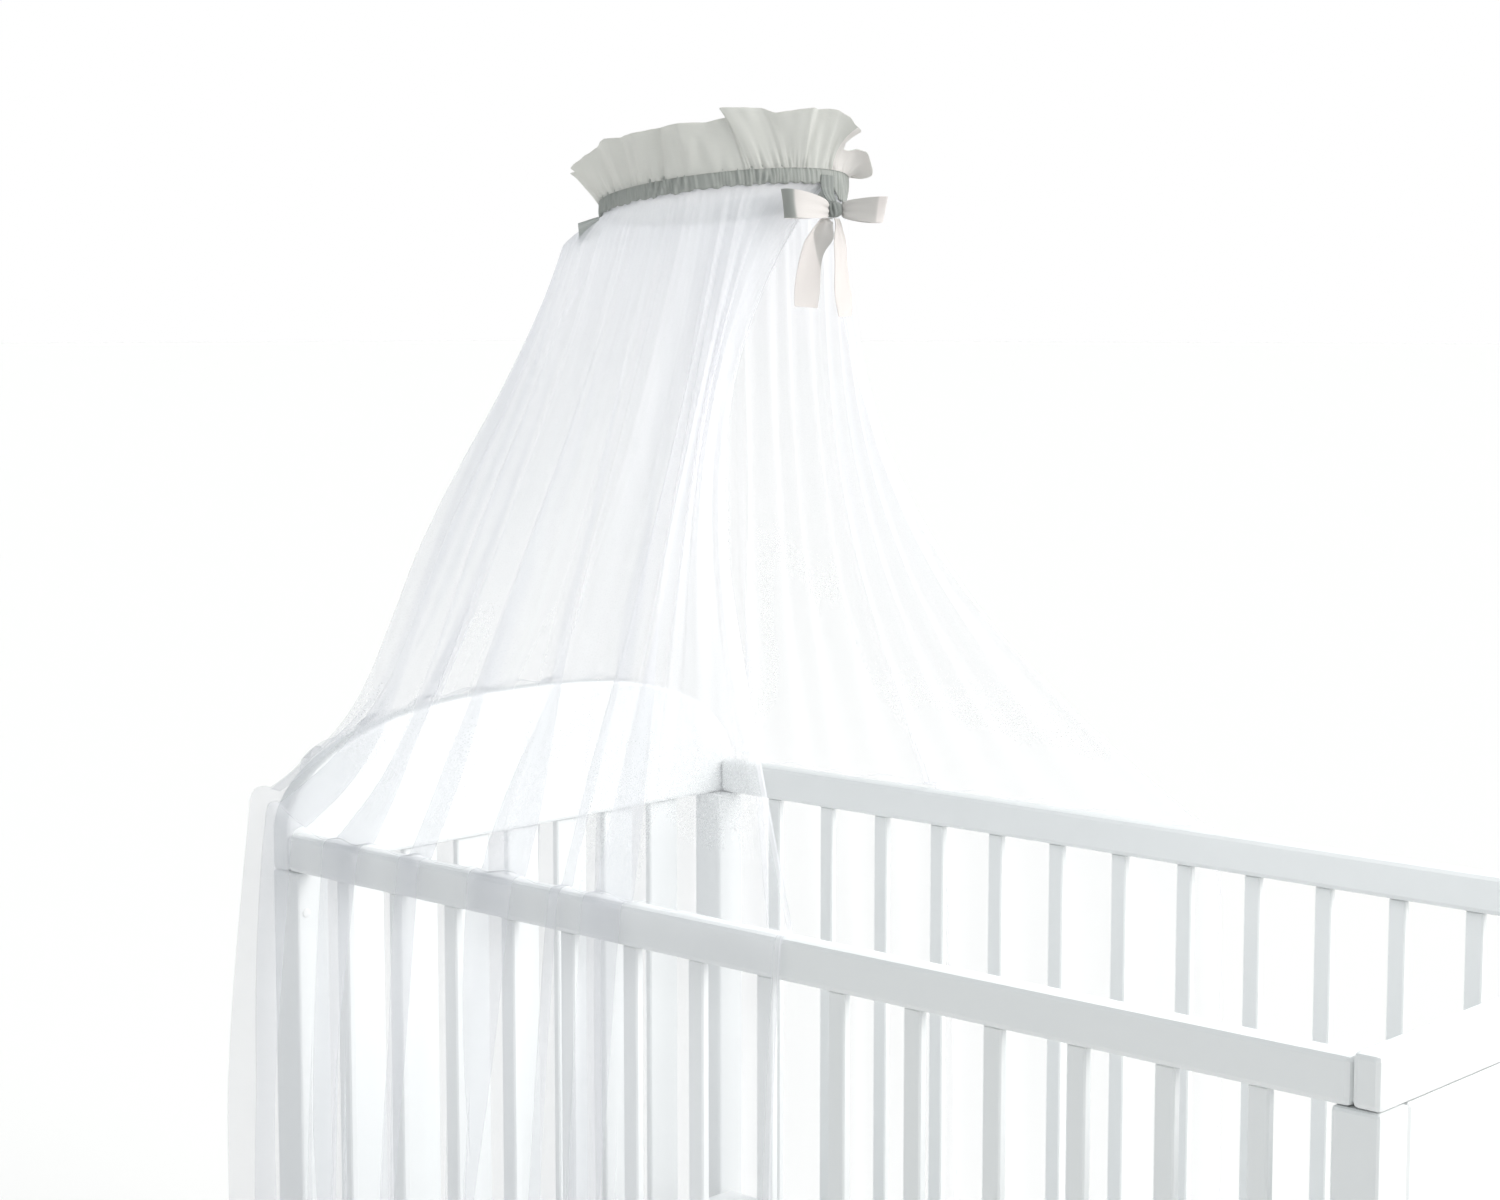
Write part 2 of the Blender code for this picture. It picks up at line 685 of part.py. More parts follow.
def add_tail(name, start_heading, drift_heading, drift, drop, face_top, face_foot, material):
    """One free end of the ribbon, hanging from under the knot with a slight twist."""
    centre = bow_centre()
    start = centre + heading_vector(start_heading) * TAIL_SPACING
    start = start - np.array([0.0, 0.0, KNOT_SIZE[2] / 2 + TAIL_SEAT])
    rows = [[], [], []]
    for place in np.linspace(0, 1, TAIL_STEPS):
        middle = start + heading_vector(drift_heading) * drift * place**TAIL_DRIFT_POWER
        middle = middle - np.array([0.0, 0.0, drop * place])
        facing = face_top + (face_foot - face_top) * float(smooth_step(place / TAIL_TWIST_REACH))
        across = heading_vector(facing + 90)
        opened = float(smooth_step(place / TAIL_OPEN_REACH))
        width = RIBBON_WIDTH * (TAIL_PINCH + (TAIL_WIDTH - TAIL_PINCH) * opened)
        for row, side in zip(rows, (-0.5, 0.0, 0.5)):
            row.append(middle + across * width * side)
    add_sheet(name, np.array(rows), RIBBON_THICK, material)


def add_neck(material):
    """The ribbon between the knot and the casing, lying over the casing's outer face."""
    on_band = HOOP_RADIUS + band_top() + BAND_GATHER_DEPTH + RIBBON_THICK / 2
    foot = KNOT_SIZE[2] / 2 - BOW_DROP + NECK_FOOT_RISE
    # Columns: height over the hoop's middle, radius
    steps = (
        (foot, HOOP_RADIUS + BOW_REACH - NECK_INSET),
        (foot + NECK_LEAN_HEIGHT, on_band + NECK_LEAN),
        (NECK_ON_BAND_LOW, on_band),
        (NECK_ON_BAND_HIGH, on_band),
    )
    rows = []
    for height, radius in steps:
        row = []
        for side in (-1.0, 0.0, 1.0):
            row.append(on_hoop(BOW_AZIMUTH + side * NECK_HALF_TURN, radius, height))
        rows.append(row)
    add_sheet("bow_neck", np.array(rows), RIBBON_THICK, material)


def add_rear_tab(material):
    """The short ribbon end that lies on the net's shoulder behind the hoop."""
    rows = []
    half = math.degrees(TAB_WIDTH / 2 / (HOOP_RADIUS + SHOULDER_REACH / 2))
    for share in (-1.0, -0.5, 0.0, 0.5, 1.0):
        azimuth = TAB_AZIMUTH + half * share
        cloth = net_column(run_at(azimuth))[1:]
        steps = np.linalg.norm(np.diff(cloth, axis=0), axis=1)
        walked = np.concatenate([[0.0], np.cumsum(steps)])
        row = []
        for place in TAB_PLACES:
            here, ahead = (
                np.array([np.interp(place + step, walked, axis) for axis in cloth.T])
                for step in (0.0, TAB_SLOPE_STEP)
            )
            down = (ahead - here) / np.linalg.norm(ahead - here)
            side = heading_vector(azimuth + 90)
            row.append(here + np.cross(down, side) * TAB_LIFT)
        rows.append(row)
    add_sheet("rear_tab", np.array(rows), RIBBON_THICK, material)


def run_at(azimuth):
    """The place along the run whose cloth leaves the hoop at an azimuth in degrees."""
    share = (azimuth - CORNER_AZIMUTH) / (-360 - 2 * CORNER_AZIMUTH)
    return NEAR_REACH + COT_WIDTH * share


def build():
    """Make every piece."""
    clear_scene()
    paint = make_material("white_paint", WHITE_PAINT)
    mesh = make_material("white_net", WHITE_NET)
    cotton = make_material("sage_cotton", SAGE_COTTON)
    ribbon = make_material("sand_ribbon", SAND_RIBBON)
    plastic = make_material("white_plastic", WHITE_PLASTIC)
    add_headboard_panel(paint)
    add_cot(paint)
    add_hoop(plastic)
    add_heading_band(cotton)
    add_ruffle(cotton)
    add_net(mesh)
    add_knot(ribbon)
    for row in LOOP_TABLE:
        add_loop(*row, ribbon)
    for row in TAIL_TABLE:
        add_tail(*row, ribbon)
    add_neck(ribbon)
    add_rear_tab(ribbon)


build()
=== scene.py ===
"""Mosquito net canopy on a slatted cot: the looks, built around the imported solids.

Fine net gathers into a ruched casing on a small tilted hoop and falls over the cot. A frill
stands above the casing and a ribbon bow closes the net where its two front edges meet.
All sizes are in metres. X runs from the headboard to the foot, Y from the near side to the
far side, and the floor is Z = 0.
"""

from __future__ import annotations

import json
import logging
import math
from dataclasses import dataclass, field
from enum import Enum
from typing import Any, Iterable, Sequence, Union

import bpy
import numpy as np
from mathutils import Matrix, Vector

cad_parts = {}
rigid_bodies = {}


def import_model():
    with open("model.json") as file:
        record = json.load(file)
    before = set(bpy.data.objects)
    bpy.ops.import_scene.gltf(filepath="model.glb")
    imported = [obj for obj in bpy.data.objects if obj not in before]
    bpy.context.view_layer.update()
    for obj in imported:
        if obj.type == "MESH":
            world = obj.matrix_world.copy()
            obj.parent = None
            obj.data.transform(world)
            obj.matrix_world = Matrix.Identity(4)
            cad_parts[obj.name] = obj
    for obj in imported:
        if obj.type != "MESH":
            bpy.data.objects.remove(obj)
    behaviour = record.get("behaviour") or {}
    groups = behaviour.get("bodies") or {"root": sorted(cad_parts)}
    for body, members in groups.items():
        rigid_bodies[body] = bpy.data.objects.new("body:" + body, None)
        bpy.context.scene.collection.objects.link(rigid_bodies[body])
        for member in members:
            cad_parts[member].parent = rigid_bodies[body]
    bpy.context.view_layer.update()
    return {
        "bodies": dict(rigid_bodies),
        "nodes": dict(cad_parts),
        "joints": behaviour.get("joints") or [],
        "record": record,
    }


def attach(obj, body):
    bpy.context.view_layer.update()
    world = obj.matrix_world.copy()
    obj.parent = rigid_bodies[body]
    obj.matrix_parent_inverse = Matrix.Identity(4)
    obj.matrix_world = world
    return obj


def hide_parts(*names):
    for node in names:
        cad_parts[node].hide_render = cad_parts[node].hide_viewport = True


LOG = logging.getLogger("canopy")
BODY = "root"
FLAT_STEP = 0.002
CREASE_ANGLE = 50
Array = np.ndarray


# ---------------------------------------------------------------------------
# Node trees


class Value:
    """A socket of a node tree whose arithmetic adds Math nodes."""

    def __init__(self, graph: "Graph", socket: bpy.types.NodeSocket) -> None:
        """Wrap a socket of a graph."""
        self.graph = graph
        self.socket = socket

    def _math(self, operation: str, *terms: "Number") -> "Value":
        """Add one Math node.

        Args:
            operation: The node's operation.
            terms: Its inputs, in order.

        Returns:
            The node's output.
        """
        return self.graph.value("ShaderNodeMath", {"operation": operation}, dict(enumerate(terms)))

    def __add__(self, other: "Number") -> "Value":
        """The sum."""
        return self._math("ADD", self, other)

    def __sub__(self, other: "Number") -> "Value":
        """The difference."""
        return self._math("SUBTRACT", self, other)

    def __mul__(self, other: "Number") -> "Value":
        """The product."""
        return self._math("MULTIPLY", self, other)

    def __rsub__(self, other: "Number") -> "Value":
        """The difference from a number."""
        return self._math("SUBTRACT", other, self)

    __radd__ = __add__
    __rmul__ = __mul__

    def sine(self) -> "Value":
        """The sine, in radians."""
        return self._math("SINE", self)

    def clamped(self) -> "Value":
        """The value kept between 0 and 1."""
        return self.graph.value("ShaderNodeClamp", {}, {"Value": self})


Number = Union[Value, float]


class Graph:
    """A node tree and the one way in which its nodes are added."""

    def __init__(self, tree: bpy.types.NodeTree) -> None:
        """Wrap a node tree."""
        self.tree = tree

    def node(
        self,
        kind: str,
        settings: dict[str, Any] | None = None,
        inputs: dict[Any, Any] | None = None,
    ) -> bpy.types.Node:
        """Add a node.

        Args:
            kind: The node's type.
            settings: Its own settings, set first.
            inputs: Values or links, by the name or the number of the socket.

        Returns:
            The new node.
        """
        made = self.tree.nodes.new(kind)
        for name, setting in (settings or {}).items():
            setattr(made, name, setting)
        self.feed(made, inputs or {})
        return made

    def feed(self, node: bpy.types.Node, inputs: dict[Any, Any]) -> None:
        """Give a node its inputs.

        Args:
            node: The node.
            inputs: Values or links, by the name or the number of the socket.
        """
        for key, given in inputs.items():
            if isinstance(given, Value):
                self.tree.links.new(given.socket, node.inputs[key])
            else:
                node.inputs[key].default_value = given

    def value(
        self,
        kind: str,
        settings: dict[str, Any] | None = None,
        inputs: dict[Any, Any] | None = None,
        output: Union[int, str] = 0,
    ) -> Value:
        """Add a node and take one of its outputs.

        Args:
            kind: The node's type.
            settings: Its own settings.
            inputs: Values or links of its sockets.
            output: The name or number of the output.

        Returns:
            The output as a value.
        """
        return Value(self, self.node(kind, settings, inputs).outputs[output])

    def mix(self, share: Number, first: Any, second: Any) -> Value:
        """Mix two colours.

        Args:
            share: How much of the second colour shows.
            first: Colour, or its socket.
            second: Colour, or its socket.

        Returns:
            The mixed colour.
        """
        settings = {"data_type": "RGBA"}
        return self.value("ShaderNodeMix", settings, {0: share, 6: first, 7: second}, 2)

    def noise(self, place: Value, scale: float, detail: float = 2.0) -> Value:
        """Soft noise about a mean of one half.

        Args:
            place: Where it is read.
            scale: Its fineness.
            detail: Its number of octaves.

        Returns:
            The noise.
        """
        inputs = {"Vector": place, "Scale": scale, "Detail": detail}
        return self.value("ShaderNodeTexNoise", {}, inputs)

    def stretched(self, place: Value, scale: Sequence[float]) -> Value:
        """A place scaled by its own factor along each axis."""
        return self.value("ShaderNodeMapping", {}, {"Vector": place, "Scale": tuple(scale)})


def colour(red: float, green: float, blue: float) -> tuple[float, float, float, float]:
    """An opaque colour."""
    return (red, green, blue, 1.0)


def start_tree(name: str, numbers: Sequence[str]) -> tuple[Graph, list[Value]]:
    """Start a geometry tree.

    Args:
        name: Its name.
        numbers: The names of its number inputs, which follow the input Geometry.

    Returns:
        Its graph, and all its inputs in order.
    """
    tree = bpy.data.node_groups.new(name, "GeometryNodeTree")
    face = tree.interface
    face.new_socket(name="Geometry", in_out="INPUT", socket_type="NodeSocketGeometry")
    for number in numbers:
        face.new_socket(name=number, in_out="INPUT", socket_type="NodeSocketFloat")
    face.new_socket(name="Geometry", in_out="OUTPUT", socket_type="NodeSocketGeometry")
    graph = Graph(tree)
    given = graph.node("NodeGroupInput")
    return graph, [Value(graph, given.outputs[place]) for place in range(len(numbers) + 1)]


def end_tree(graph: Graph, shape: Value, material: bpy.types.Material) -> bpy.types.NodeTree:
    """End a geometry tree with real, smooth geometry of one material.

    Args:
        graph: The tree's graph.
        shape: The geometry so far.
        material: What it is made of.

    Returns:
        The finished tree.
    """
    real = graph.value("GeometryNodeRealizeInstances", {}, {"Geometry": shape})
    smooth = graph.value("GeometryNodeSetShadeSmooth", {}, {"Geometry": real})
    inputs = {"Geometry": smooth, "Material": material}
    dressed = graph.value("GeometryNodeSetMaterial", {}, inputs)
    graph.node("NodeGroupOutput", {}, {0: dressed})
    return graph.tree


def use_tree(item: bpy.types.Object, tree: bpy.types.NodeTree, numbers: dict[str, float]) -> None:
    """Run a geometry tree on an object.

    Args:
        item: The object.
        tree: The tree.
        numbers: Its number inputs by name, set by their sockets' identifiers.
    """
    modifier = item.modifiers.new(tree.name, "NODES")
    modifier.node_group = tree
    for socket in tree.interface.items_tree:
        if socket.item_type == "SOCKET" and socket.in_out == "INPUT" and socket.name in numbers:
            modifier[socket.identifier] = numbers[socket.name]


def kept_values(graph: Graph, name: str, kind: str = "FLOAT") -> Value:
    """What keep_values has kept on the mesh under a name."""
    return graph.value("GeometryNodeInputNamedAttribute", {"data_type": kind}, {"Name": name})


# ---------------------------------------------------------------------------
# Finishes


class PaintedLightSide(Enum):
    """Which copy of the frill's cloth a face shows outside, the shaded or the lit one, as painted
    shade and painted light, by its place among a piece's materials.
    """

    RIGHT = 0
    REVERSE = 1


@dataclass(frozen=True)
class Finish:
    """What every finish has: a name, a colour and a roughness."""

    name: str
    tint: tuple[float, float, float]
    roughness: float

    def begin(self) -> tuple[bpy.types.Material, Graph, bpy.types.Node]:
        """Start the material with its colour and roughness.

        Returns:
            The material, its graph and its Principled node.
        """
        material = bpy.data.materials.new(self.name)
        material.use_nodes = True
        graph = Graph(material.node_tree)
        shader = material.node_tree.nodes["Principled BSDF"]
        graph.feed(shader, {"Base Color": colour(*self.tint), "Roughness": self.roughness})
        material.diffuse_color = colour(*self.tint)
        return material, graph, shader

    def clouded(self, graph: Graph, cloud: Value, depth: float) -> Value:
        """The finish's colour, darker by up to a share where a noise is low."""
        low = tuple(channel * (1 - depth) for channel in self.tint)
        return graph.mix(cloud, colour(*low), colour(*self.tint))

    def lit_through(self, graph: Graph, shader: bpy.types.Node, through: float) -> Value:
        """The finish's shader, with a share of the light that comes through the cloth."""
        glow = graph.value("ShaderNodeBsdfTranslucent", {}, {"Color": colour(*self.tint)})
        front = Value(graph, shader.outputs[0])
        return graph.value("ShaderNodeMixShader", {}, {0: through, 1: front, 2: glow})


@dataclass(frozen=True)
class PaintFinish(Finish):
    """Satin white paint with a faint grain and tiny waves in its surface."""

    grain: float = 0.035
    broad_scale: float = 7.0
    fine_scale: float = 260.0
    wave_depth: float = 0.00012
    rough_spread: float = 0.1
    coat: float = 0.12
    coat_roughness: float = 0.25

    def material(self) -> bpy.types.Material:
        """The finished material."""
        material, graph, shader = self.begin()
        place = graph.value("ShaderNodeTexCoord", {}, {}, "Object")
        broad = graph.noise(place, self.broad_scale)
        fine = graph.noise(place, self.fine_scale)
        waves = {"Distance": self.wave_depth, "Height": broad + fine * 0.35}
        inputs = {
            "Base Color": self.clouded(graph, broad, self.grain),
            "Roughness": self.roughness - self.rough_spread / 2 + fine * self.rough_spread,
            "Normal": graph.value("ShaderNodeBump", {}, waves),
            "Coat Weight": self.coat,
            "Coat Roughness": self.coat_roughness,
        }
        graph.feed(shader, inputs)
        return material


@dataclass(frozen=True)
class ClothFinish(Finish):
    """Matt cotton, with a fine weave, slubs, a little light coming through and, where given,
    painted shade.
    """

    weave_pitch: float = 0.0011
    weave_depth: float = 0.00016
    slub_scale: tuple[float, float, float] = (90.0, 900.0, 1.0)
    cloud_scale: tuple[float, float, float] = (28.0, 40.0, 1.0)
    unevenness: float = 0.10
    through: float = 0.18
    gloss: float = 0.15
    sheen: float = 0.25
    sheen_roughness: float = 0.6
    # Colour of painted shade, mixed in as far as the attribute turned says
    turned: tuple[float, float, float] | None = None

    def material(self) -> bpy.types.Material:
        """The finished material."""
        material, graph, shader = self.begin()
        place = graph.value("ShaderNodeUVMap", {"uv_map": "cloth"})
        parts = graph.node("ShaderNodeSeparateXYZ", {}, {0: place})
        turn = 2 * math.pi / self.weave_pitch
        warp = (Value(graph, parts.outputs[0]) * turn).sine()
        weft = (Value(graph, parts.outputs[1]) * turn).sine()
        slub = graph.noise(graph.stretched(place, self.slub_scale), 1.0)
        cloud = graph.noise(graph.stretched(place, self.cloud_scale), 1.0)
        tone = self.clouded(graph, (slub * 0.5 + cloud * 0.5).clamped(), self.unevenness)
        # Painted shade: the colour goes toward the shade colour as far as the attribute turned
        # says
        if self.turned:
            share = graph.value("ShaderNodeAttribute", {"attribute_name": "turned"}, {}, "Fac")
            tone = graph.mix(share, tone, colour(*self.turned))
        weave = {"Distance": self.weave_depth, "Height": warp * weft * 0.5 + slub}
        inputs = {
            "Base Color": tone,
            "Normal": graph.value("ShaderNodeBump", {}, weave),
            "Specular IOR Level": self.gloss,
            "Sheen Weight": self.sheen,
            "Sheen Roughness": self.sheen_roughness,
        }
        graph.feed(shader, inputs)
        both = self.lit_through(graph, shader, self.through)
        graph.feed(graph.tree.nodes["Material Output"], {"Surface": both})
        return material


@dataclass(frozen=True)
class NetFinish(Finish):
    """Fine net: how much of the light it stops is kept on the mesh, in the attribute cover."""

    through: float = 0.5
    streak: float = 0.06
    streak_scale: tuple[float, float, float] = (70.0, 2.2, 1.0)
    patch_scale: tuple[float, float, float] = (9.0, 4.0, 1.0)
    cell: float = 0.16
    cells_per_metre: float = 560.0
    cell_middle: float = 0.22
    gloss: float = 0.2
    sheen: float = 0.15
    sheen_roughness: float = 0.5

    def material(self) -> bpy.types.Material:
        """The finished material."""
        material, graph, shader = self.begin()
        place = graph.value("ShaderNodeUVMap", {"uv_map": "cloth"})
        cover = graph.value("ShaderNodeAttribute", {"attribute_name": "cover"}, {}, "Fac")
        streak = graph.noise(graph.stretched(place, self.streak_scale), 1.0)
        patch = graph.noise(graph.stretched(place, self.patch_scale), 1.0)
        small = graph.stretched(place, (self.cells_per_metre, self.cells_per_metre, 1.0))
        settings = {"feature": "DISTANCE_TO_EDGE"}
        cells = graph.value("ShaderNodeTexVoronoi", settings, {"Vector": small, "Scale": 1.0})
        uneven = 1.0 + (streak - 0.5) * self.streak + (patch - 0.5) * self.streak * 0.5
        threads = 1.0 + (self.cell_middle - cells) * self.cell
        share = (cover * uneven * threads).clamped()
        inputs = {
            "Specular IOR Level": self.gloss,
            "Sheen Weight": self.sheen,
            "Sheen Roughness": self.sheen_roughness,
        }
        graph.feed(shader, inputs)
        thread = self.lit_through(graph, shader, self.through)
        clear = graph.value("ShaderNodeBsdfTransparent")
        both = graph.value("ShaderNodeMixShader", {}, {0: share, 1: clear, 2: thread})
        graph.feed(graph.tree.nodes["Material Output"], {"Surface": both})
        return material


@dataclass(frozen=True)
class PlainFinish(Finish):
    """An even finish with faint mottling."""

    cloud_scale: float = 30.0
    mottle: float = 0.03
    gloss: float = 0.5

    def material(self) -> bpy.types.Material:
        """The finished material."""
        material, graph, shader = self.begin()
        place = graph.value("ShaderNodeTexCoord", {}, {}, "Object")
        cloud = graph.noise(place, self.cloud_scale)
        tone = self.clouded(graph, cloud, self.mottle)
        graph.feed(shader, {"Base Color": tone, "Specular IOR Level": self.gloss})
        return material


WHITE_PAINT = PaintFinish("white_paint", (0.80, 0.812, 0.815), 0.42)
FINE_NET = NetFinish("fine_net", (0.885, 0.887, 0.914), 0.85)
# Painted shade: the sage copy of the frill's cloth, one pale cloth shown as it looks in shade.
SHADED_COTTON = ClothFinish("cotton", (0.69, 0.695, 0.66), 0.9, through=0.25)
# Painted shade: the casing's dark colour stands for the shade under the frill and in its gathers.
SHADED_CASING_COTTON = ClothFinish("shaded_casing_cotton", (0.44, 0.46, 0.435), 0.9)
# Painted light: the pale copy of the same cloth, as it looks where light falls on it.
LIT_COTTON = ClothFinish("lit_cotton", (0.96, 0.93, 0.915), 0.9, through=0.5, unevenness=0.04)
# The ribbon's second colour, turned, is painted shade, mixed in where a piece lies in shade.
RIBBON = ClothFinish(
    "ribbon", (0.86, 0.82, 0.80), 0.85, through=0.3, unevenness=0.06, turned=(0.29, 0.32, 0.305)
)
# Painted shade: a sage copy of the ribbon for pieces that lie in half shade.
HALF_SHADED_RIBBON = ClothFinish("half_shaded_ribbon", (0.60, 0.62, 0.60), 0.85)
RIBBON_SHADED = ClothFinish("ribbon_shaded", (0.30, 0.32, 0.305), 0.85)
WHITE_PLASTIC = PlainFinish("white_plastic", (0.80, 0.80, 0.80), 0.5)
FLOOR = PlainFinish("pale_floor", (0.882, 0.866, 0.857), 1.0, mottle=0.004, gloss=0.0)


# ---------------------------------------------------------------------------
# Meshes


def smooth_step(value: Any) -> Any:
    """A soft step from 0 to 1."""
    value = np.clip(value, 0, 1)
    return value * value * (3 - 2 * value)


def eased(place: float, start: float, reach: float) -> float:
    """How far a soft step has come that starts at a place and ends within a reach."""
    return float(smooth_step((place - start) / reach))


def bell(away: Any, width: float) -> Any:
    """A soft bump, 1 in its middle."""
    return np.exp(-((away / width) ** 2))


def blurred(padded: Array, reach: int, softness: float) -> Array:
    """A line under a soft moving mean.

    Args:
        padded: The line, with as many values added at each end as the mean reaches.
        reach: How many values count to each side.
        softness: How far the mean spreads, in values.

    Returns:
        The softened line, without the added ends.
    """
    weights = np.exp(-0.5 * (np.arange(-reach, reach + 1) / softness) ** 2)
    return np.convolve(padded, weights / weights.sum(), "valid")


def distances(points: Array) -> Array:
    """How far along a line each of its points lies."""
    steps = np.linalg.norm(np.diff(points, axis=0), axis=-1)
    return np.concatenate([[0.0], np.cumsum(steps)])


def flat_places(across: Array, down: Array) -> Array:
    """Places on a flat cloth, for each row down it and each column across it."""
    return np.stack(np.meshgrid(across, down), axis=-1)


def keep_values(mesh: bpy.types.Mesh, name: str, values: Any, vector: bool = False) -> None:
    """Keep a number, or else a vector, at each point of a mesh.

    Args:
        mesh: The mesh.
        name: The attribute's name.
        values: One for each point.
        vector: Whether they are vectors.
    """
    layer = mesh.attributes.new(name, "FLOAT_VECTOR" if vector else "FLOAT", "POINT")
    key = "vector" if vector else "value"
    layer.data.foreach_set(key, np.asarray(values, np.float32).ravel())


def add_object(name: str, data: Any) -> bpy.types.Object:
    """A new object of a mesh, light or camera, put into the scene."""
    item = bpy.data.objects.new(name, data)
    bpy.context.scene.collection.objects.link(item)
    return item


def sheet_object(
    name: str,
    grid: Array,
    materials: Sequence[bpy.types.Material],
    flat: Array | None = None,
    closed: bool = False,
    turned: bool = False,
) -> bpy.types.Object:
    """A sheet of cloth from a grid of points.

    Args:
        name: The piece's name.
        grid: Points, rows by columns by 3.
        materials: Its materials.
        flat: Where each point lies on the flat cloth, rows by columns by 2, in metres.
        closed: Whether the last column joins the first.
        turned: Whether the faces look the other way.

    Returns:
        The new object, with the flat places as its UV map.
    """
    rows, columns, _ = grid.shape
    last = columns if closed else columns - 1
    row, column = np.meshgrid(np.arange(rows - 1), np.arange(last), indexing="ij")
    beside = (column + 1) % columns
    corners = [
        row * columns + column,
        (row + 1) * columns + column,
        (row + 1) * columns + beside,
        row * columns + beside,
    ]
    if turned:
        corners = corners[::-1]
    faces = np.stack(corners, axis=-1).reshape(-1, 4)
    mesh = bpy.data.meshes.new(name)
    mesh.vertices.add(rows * columns)
    mesh.vertices.foreach_set("co", grid.astype(np.float32).ravel())
    mesh.loops.add(faces.size)
    mesh.loops.foreach_set("vertex_index", faces.astype(np.int32).ravel())
    mesh.polygons.add(len(faces))
    mesh.polygons.foreach_set("loop_start", np.arange(0, faces.size, 4, dtype=np.int32))
    mesh.update(calc_edges=True)
    if flat is None:
        flat = flat_places(np.arange(columns) * FLAT_STEP, np.arange(rows) * FLAT_STEP)
    places = flat.reshape(-1, 2)[faces.ravel()]
    layer = mesh.uv_layers.new(name="cloth")
    layer.data.foreach_set("uv", places.astype(np.float32).ravel())
    for material in materials:
        mesh.materials.append(material)
    mesh.shade_smooth()
    return add_object(name, mesh)


def apply_modifiers(item: bpy.types.Object) -> None:
    """Make the evaluated mesh the object's own and remove its modifiers."""
    bpy.context.view_layer.update()
    graph = bpy.context.evaluated_depsgraph_get()
    mesh = bpy.data.meshes.new_from_object(item.evaluated_get(graph))
    item.modifiers.clear()
    old = item.data
    item.data = mesh
    bpy.data.meshes.remove(old)
    mesh.name = item.name


def set_lit_outside(item: bpy.types.Object, lit_outside: Array) -> None:
    """Say which faces of a sheet show the lit copy of the cloth outside, as painted light, and not
    the shaded copy.

    Args:
        item: The sheet.
        lit_outside: Whether each face does, rows by columns.
    """
    sides = np.where(lit_outside, PaintedLightSide.REVERSE.value, PaintedLightSide.RIGHT.value)
    item.data.polygons.foreach_set("material_index", sides.astype(np.int32).ravel())


def lit_and_shaded_faces(inner: Finish, outer: Finish) -> list[bpy.types.Material]:
    """Materials of a cloth shown as a lit copy and a shaded copy, painted light and painted shade,
    in the order in which thicken gives them out.
    """
    face = inner.material()
    return [face, outer.material(), face]


def thicken(item: bpy.types.Object, thickness: float, sides: int = 0) -> None:
    """Give a sheet its thickness, half to each side, and keep the result as its mesh.

    Args:
        item: The sheet.
        thickness: Its thickness.
        sides: 1 where the two faces carry the lit and the shaded copy of the cloth, painted light
            and painted shade, otherwise 0.
    """
    solid = item.modifiers.new("thickness", "SOLIDIFY")
    solid.thickness = thickness
    solid.offset = 0.0
    solid.material_offset = sides
    apply_modifiers(item)
    item.data.shade_smooth()
    item.data.set_sharp_from_angle(angle=math.radians(CREASE_ANGLE))


def settle(piece: bpy.types.Object, slot: str, *nodes: str) -> None:
    """Let a piece ride on the body and hide the solids that it stands for.

    Args:
        piece: The finished piece.
        slot: Not used.
        nodes: The solids that it replaces.
    """
    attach(piece, BODY)
    if nodes:
        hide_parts(*nodes)
    LOG.info("%s: %d faces", piece.name, len(piece.data.polygons))


# ---------------------------------------------------------------------------
# Sizes shared by the pieces


@dataclass(frozen=True)
class CotSizes:
    """The cot's main sizes."""

    head_x: float = -0.608
    width: float = 0.66
    length: float = 1.26
    rail_top: float = 0.85
    arch_rise: float = 0.117
    arch_fullness: float = 2.6
    post_side: float = 0.040

    def arch_height(self, across: Array) -> Array:
        """Height of the headboard's arch above the rail top."""
        share = np.abs(2 * np.clip(across / self.width, 0, 1) - 1)
        return self.arch_rise * np.sqrt(1 - share**self.arch_fullness)

    def placed(self, flat: Array, height: Array) -> Array:
        """Points at places measured from the headboard's near end, and their heights."""
        return np.column_stack([self.head_x + flat[:, 0], flat[:, 1] - self.width / 2, height])


@dataclass(frozen=True)
class HoopSizes:
    """The tilted hoop and the casing round it."""

    x: float = 0.320
    height: float = 0.6455
    radius: float = 0.118
    rod: float = 0.004
    climb: float = 0.14
    wall: float = 0.0012
    clearance: float = 0.0005
    band: float = 0.020

    def band_top(self) -> float:
        """Height of the casing's top over the hoop's middle."""
        return self.rod + self.clearance + self.wall

    def point(self, azimuth: Any, radius: Any, height: Any) -> Array:
        """A point over the tilted hoop.

        Args:
            azimuth: Direction in degrees.
            radius: Distance from the hoop's middle.
            height: Height over the hoop.

        Returns:
            The point, or an array of them.
        """
        turn = np.radians(azimuth)
        x = self.x + radius * np.cos(turn)
        y = COT.width / 2 + radius * np.sin(turn)
        z = self.height + self.climb * (x - self.x) + height
        parts = np.broadcast_arrays(COT.head_x + x, y - COT.width / 2, COT.rail_top + z)
        return np.stack(parts, axis=-1)


COT = CotSizes()
HOOP = HoopSizes()


def heading(degrees: float) -> Array:
    """A level unit vector at an azimuth."""
    return np.array([math.cos(math.radians(degrees)), math.sin(math.radians(degrees)), 0.0])


# ---------------------------------------------------------------------------
# Net


@dataclass(frozen=True)
class RailWrap:
    """One place where the cloth goes over a rail."""

    offset: float
    offset_share: float
    height: float
    height_share: float


